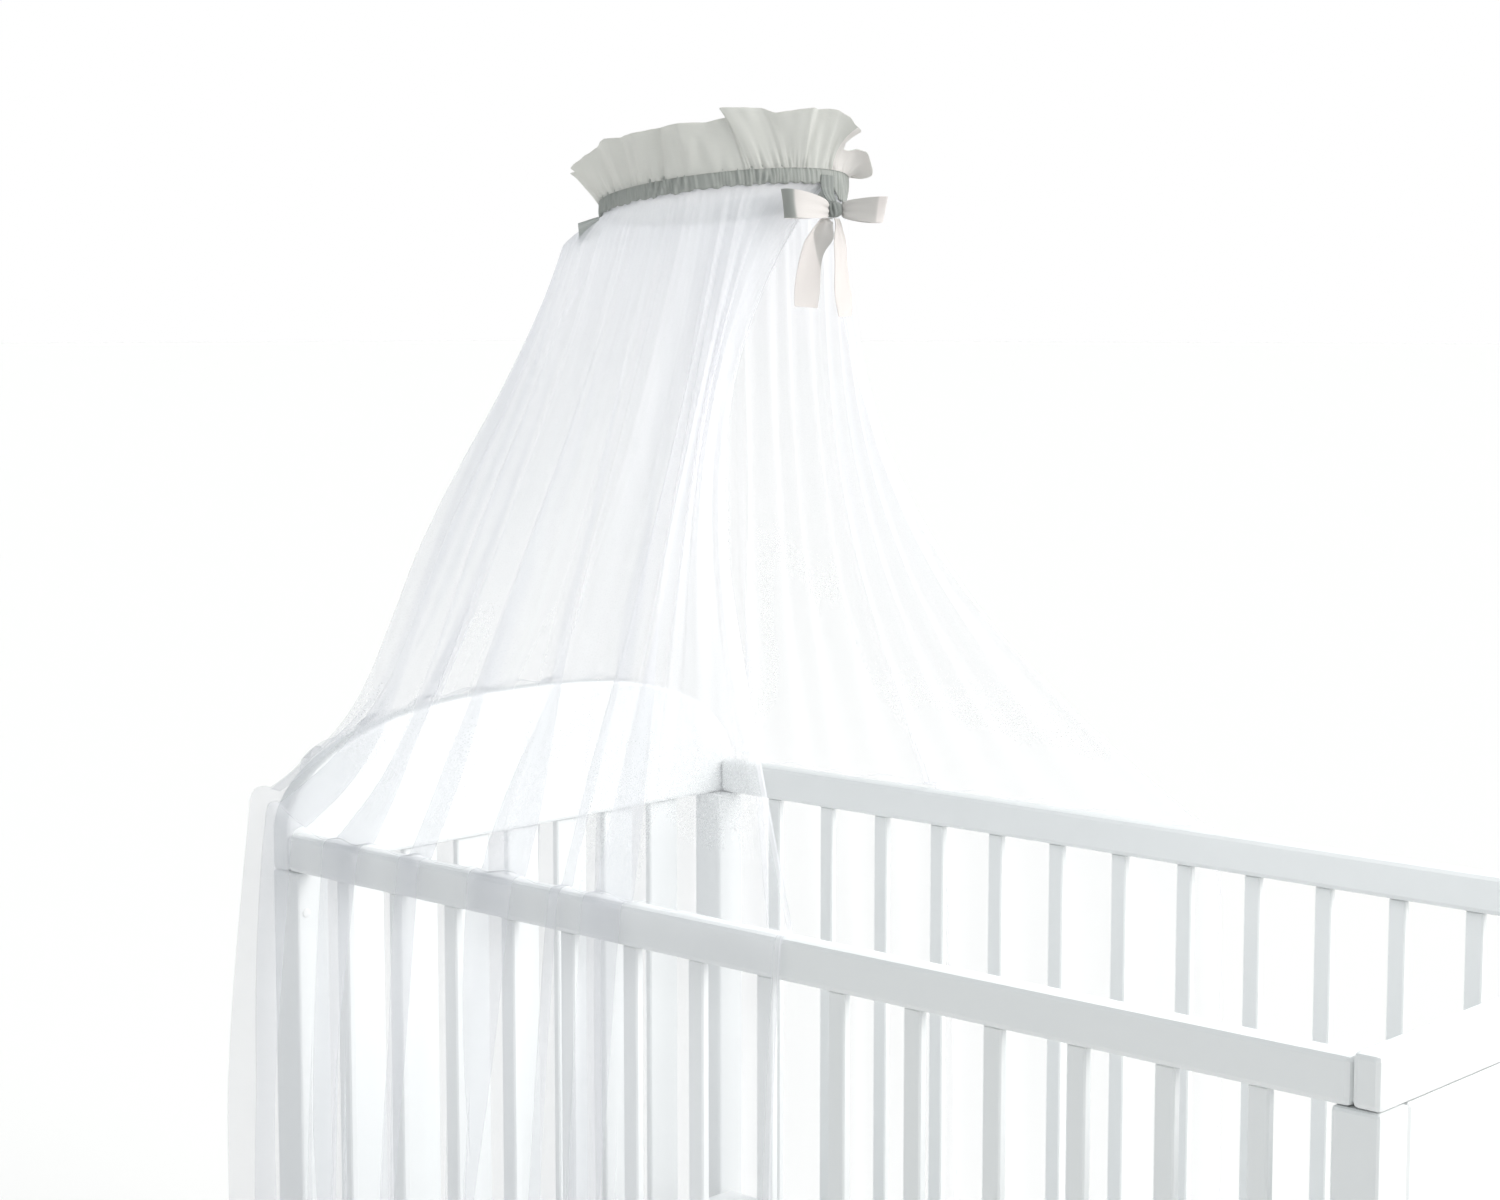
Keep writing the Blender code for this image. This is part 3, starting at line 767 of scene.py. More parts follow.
@dataclass
class NetCanopy:
    """The fine net, one wide cloth gathered at the hoop and draped over the cot."""

    length: float = 1.42
    columns: int = 716
    near_reach: float = 0.70
    front_azimuth: float = 12.0
    front_gap: float = 4.0
    corner_azimuth: float = -134.0
    slot: float = 0.0029
    seam_drop: float = 0.002
    mouth_drop: float = 0.001
    land_inner: float = -0.012
    corner_bulge: float = 0.012
    corner_blend: float = 0.035
    corner_lift: float = 0.040
    corner_lift_reach: float = 0.032
    tuck: float = 0.13
    tuck_start: float = 0.4
    tuck_reach: float = 0.13
    bulge_reach: float = 0.34
    bulge_near: tuple[float, float] = (-0.037, -0.094)
    bulge_far: tuple[float, float] = (-0.030, 0.043)
    bulge_skew: float = 0.8
    shoulder: float = 0.031
    shoulder_fade: float = 3.0
    shoulder_drop: float = 0.05
    shoulder_azimuth: float = -152.0
    shoulder_spread: float = 42.0
    hang_offset: float = 0.013
    hang_rate: float = 0.10
    fold_mean: float = 0.012
    fold_top: float = 0.12
    fold_middle: float = 0.9
    fold_rail: float = 0.34
    fold_hem: float = 1.25
    fold_start: float = 0.03
    fold_full: float = 0.55
    fold_flatten: float = 0.6
    fold_hem_reach: float = 0.35
    hem: float = 0.014
    front_hem: float = 0.006
    rim: float = 0.0016
    rim_layers: float = 3.0
    # How many fine, broad and streaky gathers there are across the whole cloth
    gather_counts: tuple[int, int, int] = (86, 37, 59)
    gather_depths: tuple[float, float, float] = (0.0004, 0.0005, 0.0002)
    gather_fades: tuple[float, float, float] = (0.08, 0.25, 0.3)
    gather_start: float = 0.03
    sewn_depth: float = 0.0002
    crowd_softness: float = 7.0
    crowd_range: tuple[float, float] = (0.9, 5.5)
    # The most cloth counted at one place: low down, at the casing, and how far that reaches
    crowd_most: tuple[float, float, float] = (1.2, 5.6, 0.25)
    # Share of the light that one layer of the net stops
    thread_share: float = 0.22
    heading_share: float = 0.9
    heading_reach: float = 0.06
    tuck_fades: tuple[float, float] = (0.04, 0.1)
    # Columns: place along the run, power of the drop
    sweep: tuple[tuple[float, float], ...] = (
        (0.00, 2.20), (0.17, 1.65), (0.34, 1.15), (0.70, 1.10), (0.90, 1.10),
        (1.16, 1.15), (1.36, 1.50), (1.60, 2.00), (1.80, 2.25), (2.06, 2.15),
    )
    # Main folds. Columns: place along the run, half width, depth
    folds: tuple[tuple[float, float, float], ...] = (
        (0.020, 0.024, 0.010), (0.110, 0.046, 0.009), (0.172, 0.022, 0.016),
        (0.224, 0.030, 0.019), (0.272, 0.020, 0.014), (0.350, 0.040, 0.021),
        (0.398, 0.022, 0.013), (0.478, 0.024, 0.018), (0.545, 0.034, 0.020),
        (0.600, 0.026, 0.015), (0.655, 0.030, 0.018), (0.700, 0.030, 0.020),
        (0.762, 0.032, 0.022), (0.835, 0.036, 0.018), (0.900, 0.030, 0.021),
        (0.962, 0.034, 0.017), (1.030, 0.036, 0.022), (1.100, 0.034, 0.018),
        (1.163, 0.030, 0.021), (1.228, 0.034, 0.017), (1.300, 0.034, 0.022),
        (1.360, 0.030, 0.020), (1.420, 0.032, 0.019), (1.490, 0.036, 0.021),
        (1.552, 0.026, 0.015), (1.620, 0.038, 0.022), (1.690, 0.030, 0.017),
        (1.762, 0.038, 0.020), (1.840, 0.034, 0.016), (1.930, 0.046, 0.018),
        (2.036, 0.026, 0.010),
    )
    # Pleats where the net lies three times on itself. Columns: place along the run, width of
    # the part that lies on itself, which way it folds
    pleats: tuple[tuple[float, float, float], ...] = (
        (0.215, 0.046, 1.0), (0.276, 0.013, -1.0), (0.362, 0.058, 1.0), (0.481, 0.030, -1.0),
        (0.580, 0.056, 1.0), (0.668, 0.028, -1.0), (0.752, 0.014, 1.0), (0.822, 0.020, -1.0),
        (0.905, 0.014, 1.0), (0.985, 0.022, -1.0), (1.085, 0.013, 1.0), (1.190, 0.020, 1.0),
        (1.412, 0.012, 1.0), (1.690, 0.010, 1.0),
    )
    # Narrow tucks in which the net lies on itself. Columns: places down the cloth, places
    # across it, width, how much more cloth lies there
    tucks: tuple[tuple[tuple[float, ...], tuple[float, ...], float, float], ...] = (
        ((0.03, 0.107, 0.161, 0.40), (0.905, 0.955, 1.062, 1.050), 0.007, 1.0),
        ((0.06, 0.190, 0.295, 0.36), (0.650, 0.715, 0.727, 0.710), 0.016, 0.5),
    )
    wraps: tuple[RailWrap, ...] = (
        RailWrap(-0.012, 0.0, 0.0016, 0.7),
        RailWrap(-0.006, 0.0, 0.0016, 0.8),
        RailWrap(0.0009, 0.6, 0.0009, 0.5),
        RailWrap(0.0032, 1.0, -0.006, 0.0),
    )
    # Places between the casing and the rail, and how far the pleats stand out there
    pleat_heights: tuple[tuple[float, ...], tuple[float, ...]] = (
        (0.0, 0.12, 0.5, 0.85, 0.95),
        (0.0, 0.0015, 0.0045, 0.0035, 0.0014),
    )
    pleat_at_rail: float = 0.0008
    pleat_below: float = 0.0014
    pleat_growth: float = 0.009
    hem_wave: float = 0.0022
    # Where the cloth leaves its even gathers and where the pleats close: start and reach
    cloth_opens: tuple[float, float] = (0.15, 0.6)
    pleats_close: tuple[float, float] = (0.36, 0.59)
    pleat_open: float = 0.8
    pleat_path: float = 3.6

    # The solid's own section, used only for how much cloth hangs below the rails
    solid_drops: tuple[float, ...] = (0.0, 0.035, 0.09, 0.2, 0.36, 0.54, 0.72, 0.88)

    def run_length(self) -> float:
        """Length of the run over the near rail, the headboard and the far rail."""
        return 2 * self.near_reach + COT.width

    def fold_depth(self, run: Array) -> Array:
        """Depth of the main folds at places along the run."""
        depth = np.zeros_like(run)
        for place, half_width, crest in self.folds:
            away = np.clip(np.abs(run - place) / half_width, 0, 1)
            depth = np.maximum(depth, crest * np.cos(away * math.pi / 2) ** 2)
        return depth

    def landing(self, run: Array) -> tuple[Array, Array, Array, Array]:
        """Where places along the run meet the cot.

        Args:
            run: Places along the run.

        Returns:
            The outer edge's places, its heights, the outward directions and how far the
            cloth stands out at the corners.
        """
        near, far = self.near_reach, self.near_reach + COT.width
        x = np.maximum(np.maximum(near - run, run - far), 0.0)
        y = np.clip(run - near, 0.0, COT.width)
        quarter = math.pi / 2
        turn = np.full_like(run, -quarter)
        for corner in (near, far):
            turn -= quarter * smooth_step((run - corner) / (2 * self.corner_blend) + 0.5)
        outward = np.stack([np.cos(turn), np.sin(turn)], axis=-1)
        away = np.minimum(np.abs(run - near), np.abs(run - far))
        bulge = self.corner_bulge * bell(away, self.corner_blend)
        lift = self.corner_lift * bell(away, self.corner_lift_reach)
        on_board = (run >= near) & (run <= far)
        height = np.where(on_board, np.maximum(COT.arch_height(y), lift), lift)
        return np.stack([x, y], axis=-1), height, outward, bulge

    def azimuth(self, run: Array) -> Array:
        """Where the cloth at places along the run leaves the hoop, in degrees."""
        corners = (0.0, self.near_reach, self.near_reach + COT.width, self.run_length())
        half_gap = self.front_gap / 2
        turns = (
            self.front_azimuth - half_gap,
            self.corner_azimuth,
            -360 - self.corner_azimuth,
            self.front_azimuth + half_gap - 360,
        )
        return np.interp(run, corners, turns)

    def across(self, run: Array, drop: float) -> Array:
        """The level direction out of the cloth, from the hoop's at 0 to the rail's at 1."""
        turn = np.radians(self.azimuth(run))
        radial = np.stack([np.cos(turn), np.sin(turn)], axis=-1)
        mixed = radial * (1 - drop) + self.landing(run)[2] * drop
        return mixed / np.linalg.norm(mixed, axis=-1, keepdims=True)

    def upper(self, run: Array, drop: float) -> Array:
        """Points of the cloth between the hoop and the cot.

        Args:
            run: Places along the run.
            drop: How far down, from 0 at the casing to 1 at the cot.

        Returns:
            The points.
        """
        azimuth = self.azimuth(run)
        turn = np.radians(azimuth)
        radial = np.stack([np.cos(turn), np.sin(turn)], axis=-1)
        land, land_height, outward, corner = self.landing(run)
        mouth = HOOP.band_top() - HOOP.band - self.mouth_drop
        top = HOOP.point(azimuth, HOOP.radius + self.slot, mouth)
        top = top - np.array([COT.head_x, -COT.width / 2, COT.rail_top])
        half = self.run_length() / 2
        edge = np.minimum(run, self.run_length() - run)
        edge = 1 - smooth_step(edge / self.bulge_reach)
        places, powers = zip(*self.sweep)
        power = np.interp(run, places, powers)
        away = np.abs(run - self.near_reach)
        away = np.minimum(away, np.abs(run - self.near_reach - COT.width))
        tuck = self.tuck * bell(away, self.tuck_reach)
        late = max(drop - self.tuck_start, 0.0) / (1 - self.tuck_start)
        spread = drop**power * (1 - tuck * math.sin(math.pi * late * late))
        inner = land + outward * (self.land_inner + corner)[:, None]
        flat = top[:, :2] + (inner - top[:, :2]) * spread[:, None]
        swell = np.where((run < half)[:, None], self.bulge_near, self.bulge_far) * edge[:, None]
        flat = flat + swell * math.sin(math.pi * drop**self.bulge_skew)
        back = bell(azimuth - self.shoulder_azimuth, self.shoulder_spread)
        if drop < self.shoulder_drop:
            rise = float(smooth_step(drop / self.shoulder_drop)) ** 0.5
        else:
            rise = ((1 - drop) / (1 - self.shoulder_drop)) ** self.shoulder_fade
        flat = flat + radial * (self.shoulder * back * rise)[:, None]
        full = float(smooth_step(drop / self.fold_full))
        share = self.fold_top + (self.fold_middle - self.fold_top) * full
        flatten = float(smooth_step((drop - self.fold_flatten) / (1 - self.fold_flatten)))
        share = share + (self.fold_rail - share) * flatten
        depth = (self.fold_depth(run) - self.fold_mean * (1 - flatten)) * share
        depth = depth * min(drop / self.fold_start, 1.0)
        flat = flat + self.across(run, drop) * depth[:, None]
        z = top[:, 2] + (land_height + 0.0016 - top[:, 2]) * drop
        return COT.placed(flat, COT.rail_top + z)

    def wrap(self, run: Array, step: RailWrap) -> Array:
        """Points where the cloth goes over a rail.

        Args:
            run: Places along the run.
            step: The place on the rail's section.

        Returns:
            The points.
        """
        land, land_height, outward, corner = self.landing(run)
        crest = self.fold_depth(run) * self.fold_rail
        flat = land + outward * (step.offset + crest * step.offset_share + corner)[:, None]
        z = COT.rail_top + land_height + step.height + crest * step.height_share
        return COT.placed(flat, z)

    def seam(self, run: Array) -> Array:
        """Points of the cloth's top edge, sewn inside the casing."""
        radius = HOOP.radius + self.slot
        return HOOP.point(self.azimuth(run), radius, -HOOP.rod - self.seam_drop)

    def hang(self, run: Array) -> Array:
        """How much cloth hangs below the rail at places along the run."""
        points = [self.seam(run)]
        points += [self.upper(run, drop) for drop in self.solid_drops]
        points += [self.wrap(run, step) for step in self.wraps]
        used = sum(np.linalg.norm(b - a, axis=-1) for a, b in zip(points, points[1:]))
        return self.length - used

    def lower(self, run: Array, place: float) -> Array:
        """Points of the cloth that hangs beside the cot.

        Args:
            run: Places along the run.
            place: How far down, from 0 under the rail to 1 at the hem.

        Returns:
            The points.
        """
        start = self.wrap(run, self.wraps[-1])
        fall = self.hang(run) * place
        away = self.hang_offset * (1 - np.exp(-fall / self.hang_rate))
        growth = (self.fold_hem - self.fold_rail) * smooth_step(fall / self.fold_hem_reach)
        away = away + self.fold_depth(run) * growth
        outward = self.landing(run)[2]
        flat = start[:, :2] + outward * away[:, None]
        return np.column_stack([flat, start[:, 2] - fall])

    def cloth_places(self) -> tuple[Array, Array, Array, Array]:
        """How the flat cloth is laid along the run.

        Returns:
            For each column: its place on the flat cloth, the run with the pleats open, the
            run with them folded, and how far it stands out in its pleat, from about -1 to 1.
        """
        marks, cloth = [0.0], [0.0]
        for centre, width, _ in self.pleats:
            half = width * self.pleat_open
            cloth.append(cloth[-1] + centre - half - marks[-1])
            marks.append(centre - half)
            cloth.append(cloth[-1] + width * self.pleat_path)
            marks.append(centre + half)
        cloth.append(cloth[-1] + self.run_length() - marks[-1])
        marks.append(self.run_length())
        total = cloth[-1]
        even = np.linspace(0, total, self.columns)
        hem = self.front_hem
        edges = np.array([0.0014, 0.0028, hem - 0.0014, hem, hem + 0.0014])
        along = np.unique(np.concatenate([even, edges, total - edges]))
        opened = np.interp(along, cloth, marks)
        folded = opened.copy()
        stands = np.zeros_like(along)
        for centre, width, way in self.pleats:
            half = width * self.pleat_open
            q = (opened - centre) / half
            inside = np.abs(q) < 1
            q = q[inside]
            swing = (width + half) / 2
            folded[inside] = centre + half * q - swing * np.sin(math.pi * q)
            stands[inside] = way * np.sin(math.pi * q) + 0.9 * np.cos(math.pi * q / 2) ** 2
        return along, opened, np.clip(folded, 0, self.run_length()), stands

    @staticmethod
    def evened(opened: Array, softness: float = 42.0) -> Array:
        """Places along the run with the pleats shaken out, ends kept.

        Args:
            opened: Places with the pleats open.
            softness: How many columns a pleat's cloth is spread over.

        Returns:
            The evened places.
        """
        reach = int(3 * softness)
        before = 2 * opened[0] - opened[reach:0:-1]
        after = 2 * opened[-1] - opened[-2 : -reach - 2 : -1]
        return blurred(np.concatenate([before, opened, after]), reach, softness)

    def gathers(self, along: Array, total: float, drop: float) -> Array:
        """Small gathers under the casing, uneven and fading downwards.

        Args:
            along: Places on the flat cloth.
            total: The flat cloth's width.
            drop: How far down, from 0 at the casing.

        Returns:
            How far each place stands out, in metres.
        """
        turn = 2 * math.pi * along / total
        drift = 1.1 * np.sin(3 * turn + 0.5) + 0.8 * np.sin(7 * turn) + 0.5 * np.sin(17 * turn)
        fines, broads, streaks = self.gather_counts
        fine = np.sin(fines * turn + drift)
        broad = np.sin(broads * turn + 1.7 * drift + 0.8)
        streak = np.sin(streaks * turn - 2.1 * drift + 2.0)
        size = 0.7 + 0.3 * np.sin(11 * turn + 1.0)
        open_up = eased(drop, 0.0, self.gather_start)
        depths, fades = self.gather_depths, self.gather_fades
        fine_depth = self.sewn_depth + depths[0] * open_up * math.exp(-drop / fades[0])
        broad_depth = depths[1] * open_up * math.exp(-drop / fades[1])
        streak_depth = depths[2] * open_up * bell(drop - fades[2], fades[2])
        return (fine * fine_depth + broad * broad_depth + streak * streak_depth) * size

    def rows(self) -> list[tuple[str, float]]:
        """The rows down the cloth, each as its part and its place there."""
        top, middle = np.linspace(0, 0.06, 9), np.linspace(0.06, 0.2, 11)
        upper = np.concatenate([top, middle[1:], np.linspace(0.2, 0.95, 48)[1:]])
        hem = np.array([0.0, 0.0014, 0.0028, self.hem, self.hem + 0.0014]) / 0.7
        lower = np.concatenate([np.linspace(0.04, 0.975, 38), 1 - hem])
        rows = [("seam", 0.0)] + [("upper", float(drop)) for drop in upper]
        rows += [("wrap", float(place)) for place in np.linspace(0, 1, 14)]
        rows += [("lower", float(place)) for place in np.unique(lower)]
        return rows

    def wrapped(self, run: Array, place: float) -> Array:
        """A row on the smooth curve that carries the cloth over the rail."""
        knots = [self.upper(run, 0.93), self.upper(run, 0.955)]
        knots += [self.wrap(run, step) for step in self.wraps]
        knots += [self.lower(run, 0.012), self.lower(run, 0.036)]
        reach = 1 + place * (len(knots) - 3)
        first = min(int(reach), len(knots) - 3)
        t = reach - first
        before, a, b, after = knots[first - 1 : first + 3]
        return 0.5 * (
            2 * a
            + (b - before) * t
            + (2 * before - 5 * a + 4 * b - after) * t**2
            + (3 * a - before - 3 * b + after) * t**3
        )

    def grid(self) -> tuple[Array, Array]:
        """The cloth's points and where each lies on the flat cloth."""
        along, opened, folded, stands = self.cloth_places()
        total = float(along[-1])
        even = self.evened(opened)
        lines = []
        for part, place in self.rows():
            if part == "seam":
                points, height = self.seam(even), 0.0
                out, extra = self.across(even, 0.0), np.zeros_like(along)
            elif part == "upper":
                opening = eased(place, *self.cloth_opens)
                closed = eased(place, *self.pleats_close)
                run = even + (opened - even) * opening + (folded - opened) * closed
                height = float(np.interp(place, *self.pleat_heights))
                points, out = self.upper(run, place), self.across(run, place)
                extra = self.gathers(along, total, place)
            elif part == "wrap":
                height = self.pleat_at_rail
                points, out = self.wrapped(folded, place), self.across(folded, 1.0)
                extra = np.zeros_like(along)
            else:
                closed = 1 - 0.5 * eased(place, 0.0, 0.8)
                run = opened + (folded - opened) * closed
                height = self.pleat_below + self.pleat_growth * eased(place, 0.0, 0.7)
                points, out = self.lower(run, place), self.across(run, 1.0)
                turn = 2 * math.pi * along / total
                wave = np.sin(23 * turn + 1.4 * np.sin(3 * turn)) + 0.6 * np.sin(41 * turn + 1.0)
                extra = wave * self.hem_wave * eased(place, 0.0, 0.5)
            if part == "wrap":
                shift = (stands + 1) * height * 0.8
            else:
                shift = stands * height + extra
            points[:, :2] += out * shift[:, None]
            if part == "wrap":
                points[:, 2] += np.maximum(stands, 0) * height * (1 - place)
            lines.append(points)
        grid = np.stack(lines)
        return grid, flat_places(along, distances(grid.mean(axis=1)))

    def cover(self, grid: Array, flat: Array) -> Array:
        """The share of light that the net stops at each point, more where it is drawn up.

        Args:
            grid: The cloth's points.
            flat: Where they lie on the flat cloth.

        Returns:
            The shares, rows by columns.
        """
        along = flat[0, :, 0]
        gaps = np.linalg.norm(np.diff(grid, axis=1), axis=-1)
        crowd = np.diff(along)[None, :] / np.maximum(gaps, 1e-5)
        padded = np.concatenate([crowd[:, :1], crowd, crowd[:, -1:]], axis=1)
        crowd = np.clip((padded[:, 1:] + padded[:, :-1]) / 2, *self.crowd_range)
        reach = int(3 * self.crowd_softness)
        padded = np.pad(crowd, ((0, 0), (reach, reach)), mode="edge")
        crowd = np.stack([blurred(line, reach, self.crowd_softness) for line in padded])
        down = flat[:, 0, 1]
        low, high, reach = self.crowd_most
        most = low + (high - low) * bell(down, reach)
        crowd = np.minimum(crowd, most[:, None])
        crowd = crowd * (1 + self.heading_share * bell(down, self.heading_reach))[:, None]
        for downs, places, width, more in self.tucks:
            line = np.interp(down, downs, places)
            begin, end = self.tuck_fades
            within = smooth_step((down - downs[0]) / begin) * smooth_step((downs[-1] - down) / end)
            layers = more * within[:, None]
            crowd = crowd + layers * bell(along[None, :] - line[:, None], width)
        at_hem = down[:, None] > down[-1] - self.hem - 0.0001
        at_front = (along < self.front_hem + 0.0001) | (along > along[-1] - self.front_hem)
        crowd = crowd * np.where(at_hem | at_front[None, :], 2.0, 1.0)
        rim = (along < self.rim) | (along > along[-1] - self.rim)
        at_rim = rim[None, :] | (down[:, None] > down[-1] - self.rim)
        crowd = crowd + np.where(at_rim, self.rim_layers, 0.0)
        return 1 - (1 - self.thread_share) ** crowd

    def build(self) -> bpy.types.Object:
        """Make the net and return it."""
        grid, flat = self.grid()
        net = sheet_object("fine_net", grid, [FINE_NET.material()], flat, turned=True)
        keep_values(net.data, "cover", self.cover(grid, flat))
        settle(net, "white_net", "net")
        return net


# ---------------------------------------------------------------------------
# Casing and frill


@dataclass
class Casing:
    """The ruched casing, with a band of small gathers all round, in a dark cloth that is painted
    shade.
    """

    steps: int = 1080
    gathers: int = 78
    depth: float = 0.0017
    lean: float = 1.6
    bow_azimuth: float = 7.0
    bow_spread: float = 7.0
    # Where the casing's end hangs lower, behind the bow: azimuth, spread in degrees, drop
    tongue: tuple[float, float, float] = (26.0, 11.0, 0.016)

    @staticmethod
    def gather_tree() -> bpy.types.NodeTree:
        """The tree that pushes the outer wall into gathers, with the inputs named below."""
        graph, given = start_tree("casing_gathers", ("Gathers", "Depth", "Lean"))
        shape, gathers, depth, lean = given
        turn, down, wall = (kept_values(graph, name) for name in ("turn", "down", "wall"))
        drift = (turn * 5.0).sine() * 2.1 + (turn * 13.0 + 0.7).sine() * 1.6
        drift = drift + (turn * 29.0 + 2.0).sine() * 0.8
        slant = down * lean * (turn * 7.0 + 1.2).sine()
        wave = (turn * gathers + drift + slant).sine()
        small = (turn * gathers * 2.3 - drift * 1.9 + down * 1.4).sine()
        size = 0.7 + (turn * 9.0 + 0.4).sine() * 0.3
        push = (wave * 0.65 + small * 0.35 + 0.2) * size * depth * wall
        normal = graph.value("GeometryNodeInputNormal")
        shift = graph.value(
            "ShaderNodeVectorMath", {"operation": "SCALE"}, {0: normal, "Scale": push}
        )
        moved = graph.value("GeometryNodeSetPosition", {}, {"Geometry": shape, "Offset": shift})
        # The dark casing cloth is painted shade, for the shade under the frill and in the gathers.
        return end_tree(graph, moved, SHADED_CASING_COTTON.material())

    def build(self) -> bpy.types.Object:
        """Make the casing and return it."""
        inner = HOOP.rod + HOOP.clearance
        outer = inner + HOOP.wall
        bottom = HOOP.band_top() - HOOP.band
        # Columns: offset from the hoop's circle, height, share of the gathers
        section = [
            (-outer, bottom, 0.0),
            (-outer, (bottom + inner) / 2, 0.3),
            (-outer, inner * 0.5, 0.3),
            (-inner * 0.5, HOOP.band_top(), 0.2),
            (inner * 0.5, HOOP.band_top(), 0.3),
            (outer * 0.92, inner * 0.75, 1.0),
        ]
        for share in np.linspace(0, 1, 9):
            puff = 0.0006 * math.sin(math.pi * share)
            section.append((outer + puff, inner * 0.4 + (bottom - inner * 0.4) * share, 1.0))
        section += [
            (inner, bottom, 0.0),
            (inner, inner * 0.5, 0.0),
            (inner * 0.5, inner, 0.0),
            (-inner * 0.5, inner, 0.0),
            (-inner, inner * 0.5, 0.0),
            (-inner, bottom, 0.0),
        ]
        azimuth = np.linspace(0, 360, self.steps, endpoint=False)
        turn = np.radians(azimuth)
        press = (azimuth - self.bow_azimuth + 180) % 360 - 180
        press = 1 - bell(press, self.bow_spread)
        lip = 0.0008 * np.sin(61 * turn + 1.6 * np.sin(4 * turn)) + 0.0005 * np.sin(23 * turn)
        middle, spread, drop = self.tongue
        tongue = (azimuth - middle + 180) % 360 - 180
        tongue = drop * np.exp(-((tongue / spread) ** 4))
        lines, walls, downs = [], [], []
        for offset, height, share in section:
            ragged = lip * float(height <= bottom + 1e-6)
            if offset > inner:
                ragged = ragged - tongue * min(max((inner - height) / HOOP.band, 0.0), 1.0)
            lines.append(HOOP.point(azimuth, HOOP.radius + offset, height + ragged))
            walls.append(share * press)
            downs.append(np.full_like(turn, height * 150))
        flat = flat_places(turn * HOOP.radius * 2, np.arange(len(section)) * 0.003)
        grid = np.stack(lines)
        ring = np.concatenate([grid, grid[:1]])
        item = sheet_object("casing", ring, [], np.concatenate([flat, flat[:1]]), closed=True)
        keep_values(item.data, "turn", np.tile(turn, len(section) + 1))
        keep_values(item.data, "down", np.concatenate(downs + downs[:1]))
        keep_values(item.data, "wall", np.concatenate(walls + walls[:1]))
        numbers = {"Gathers": float(self.gathers), "Depth": self.depth, "Lean": self.lean}
        use_tree(item, self.gather_tree(), numbers)
        weld = item.modifiers.new("seam", "WELD")
        weld.merge_threshold = 0.00002
        apply_modifiers(item)
        for name in ("turn", "down", "wall"):
            item.data.attributes.remove(item.data.attributes[name])
        item.data.shade_smooth()
        settle(item, "sage_cotton", "heading_band")
        return item


@dataclass(frozen=True)
class FrillFold:
    """One edge or valley of the frill, followed from the casing up to the hem."""

    foot: float
    head: float
    reach: float
    rise: float
    puff: float = 0.007
    flare: float = 1.08


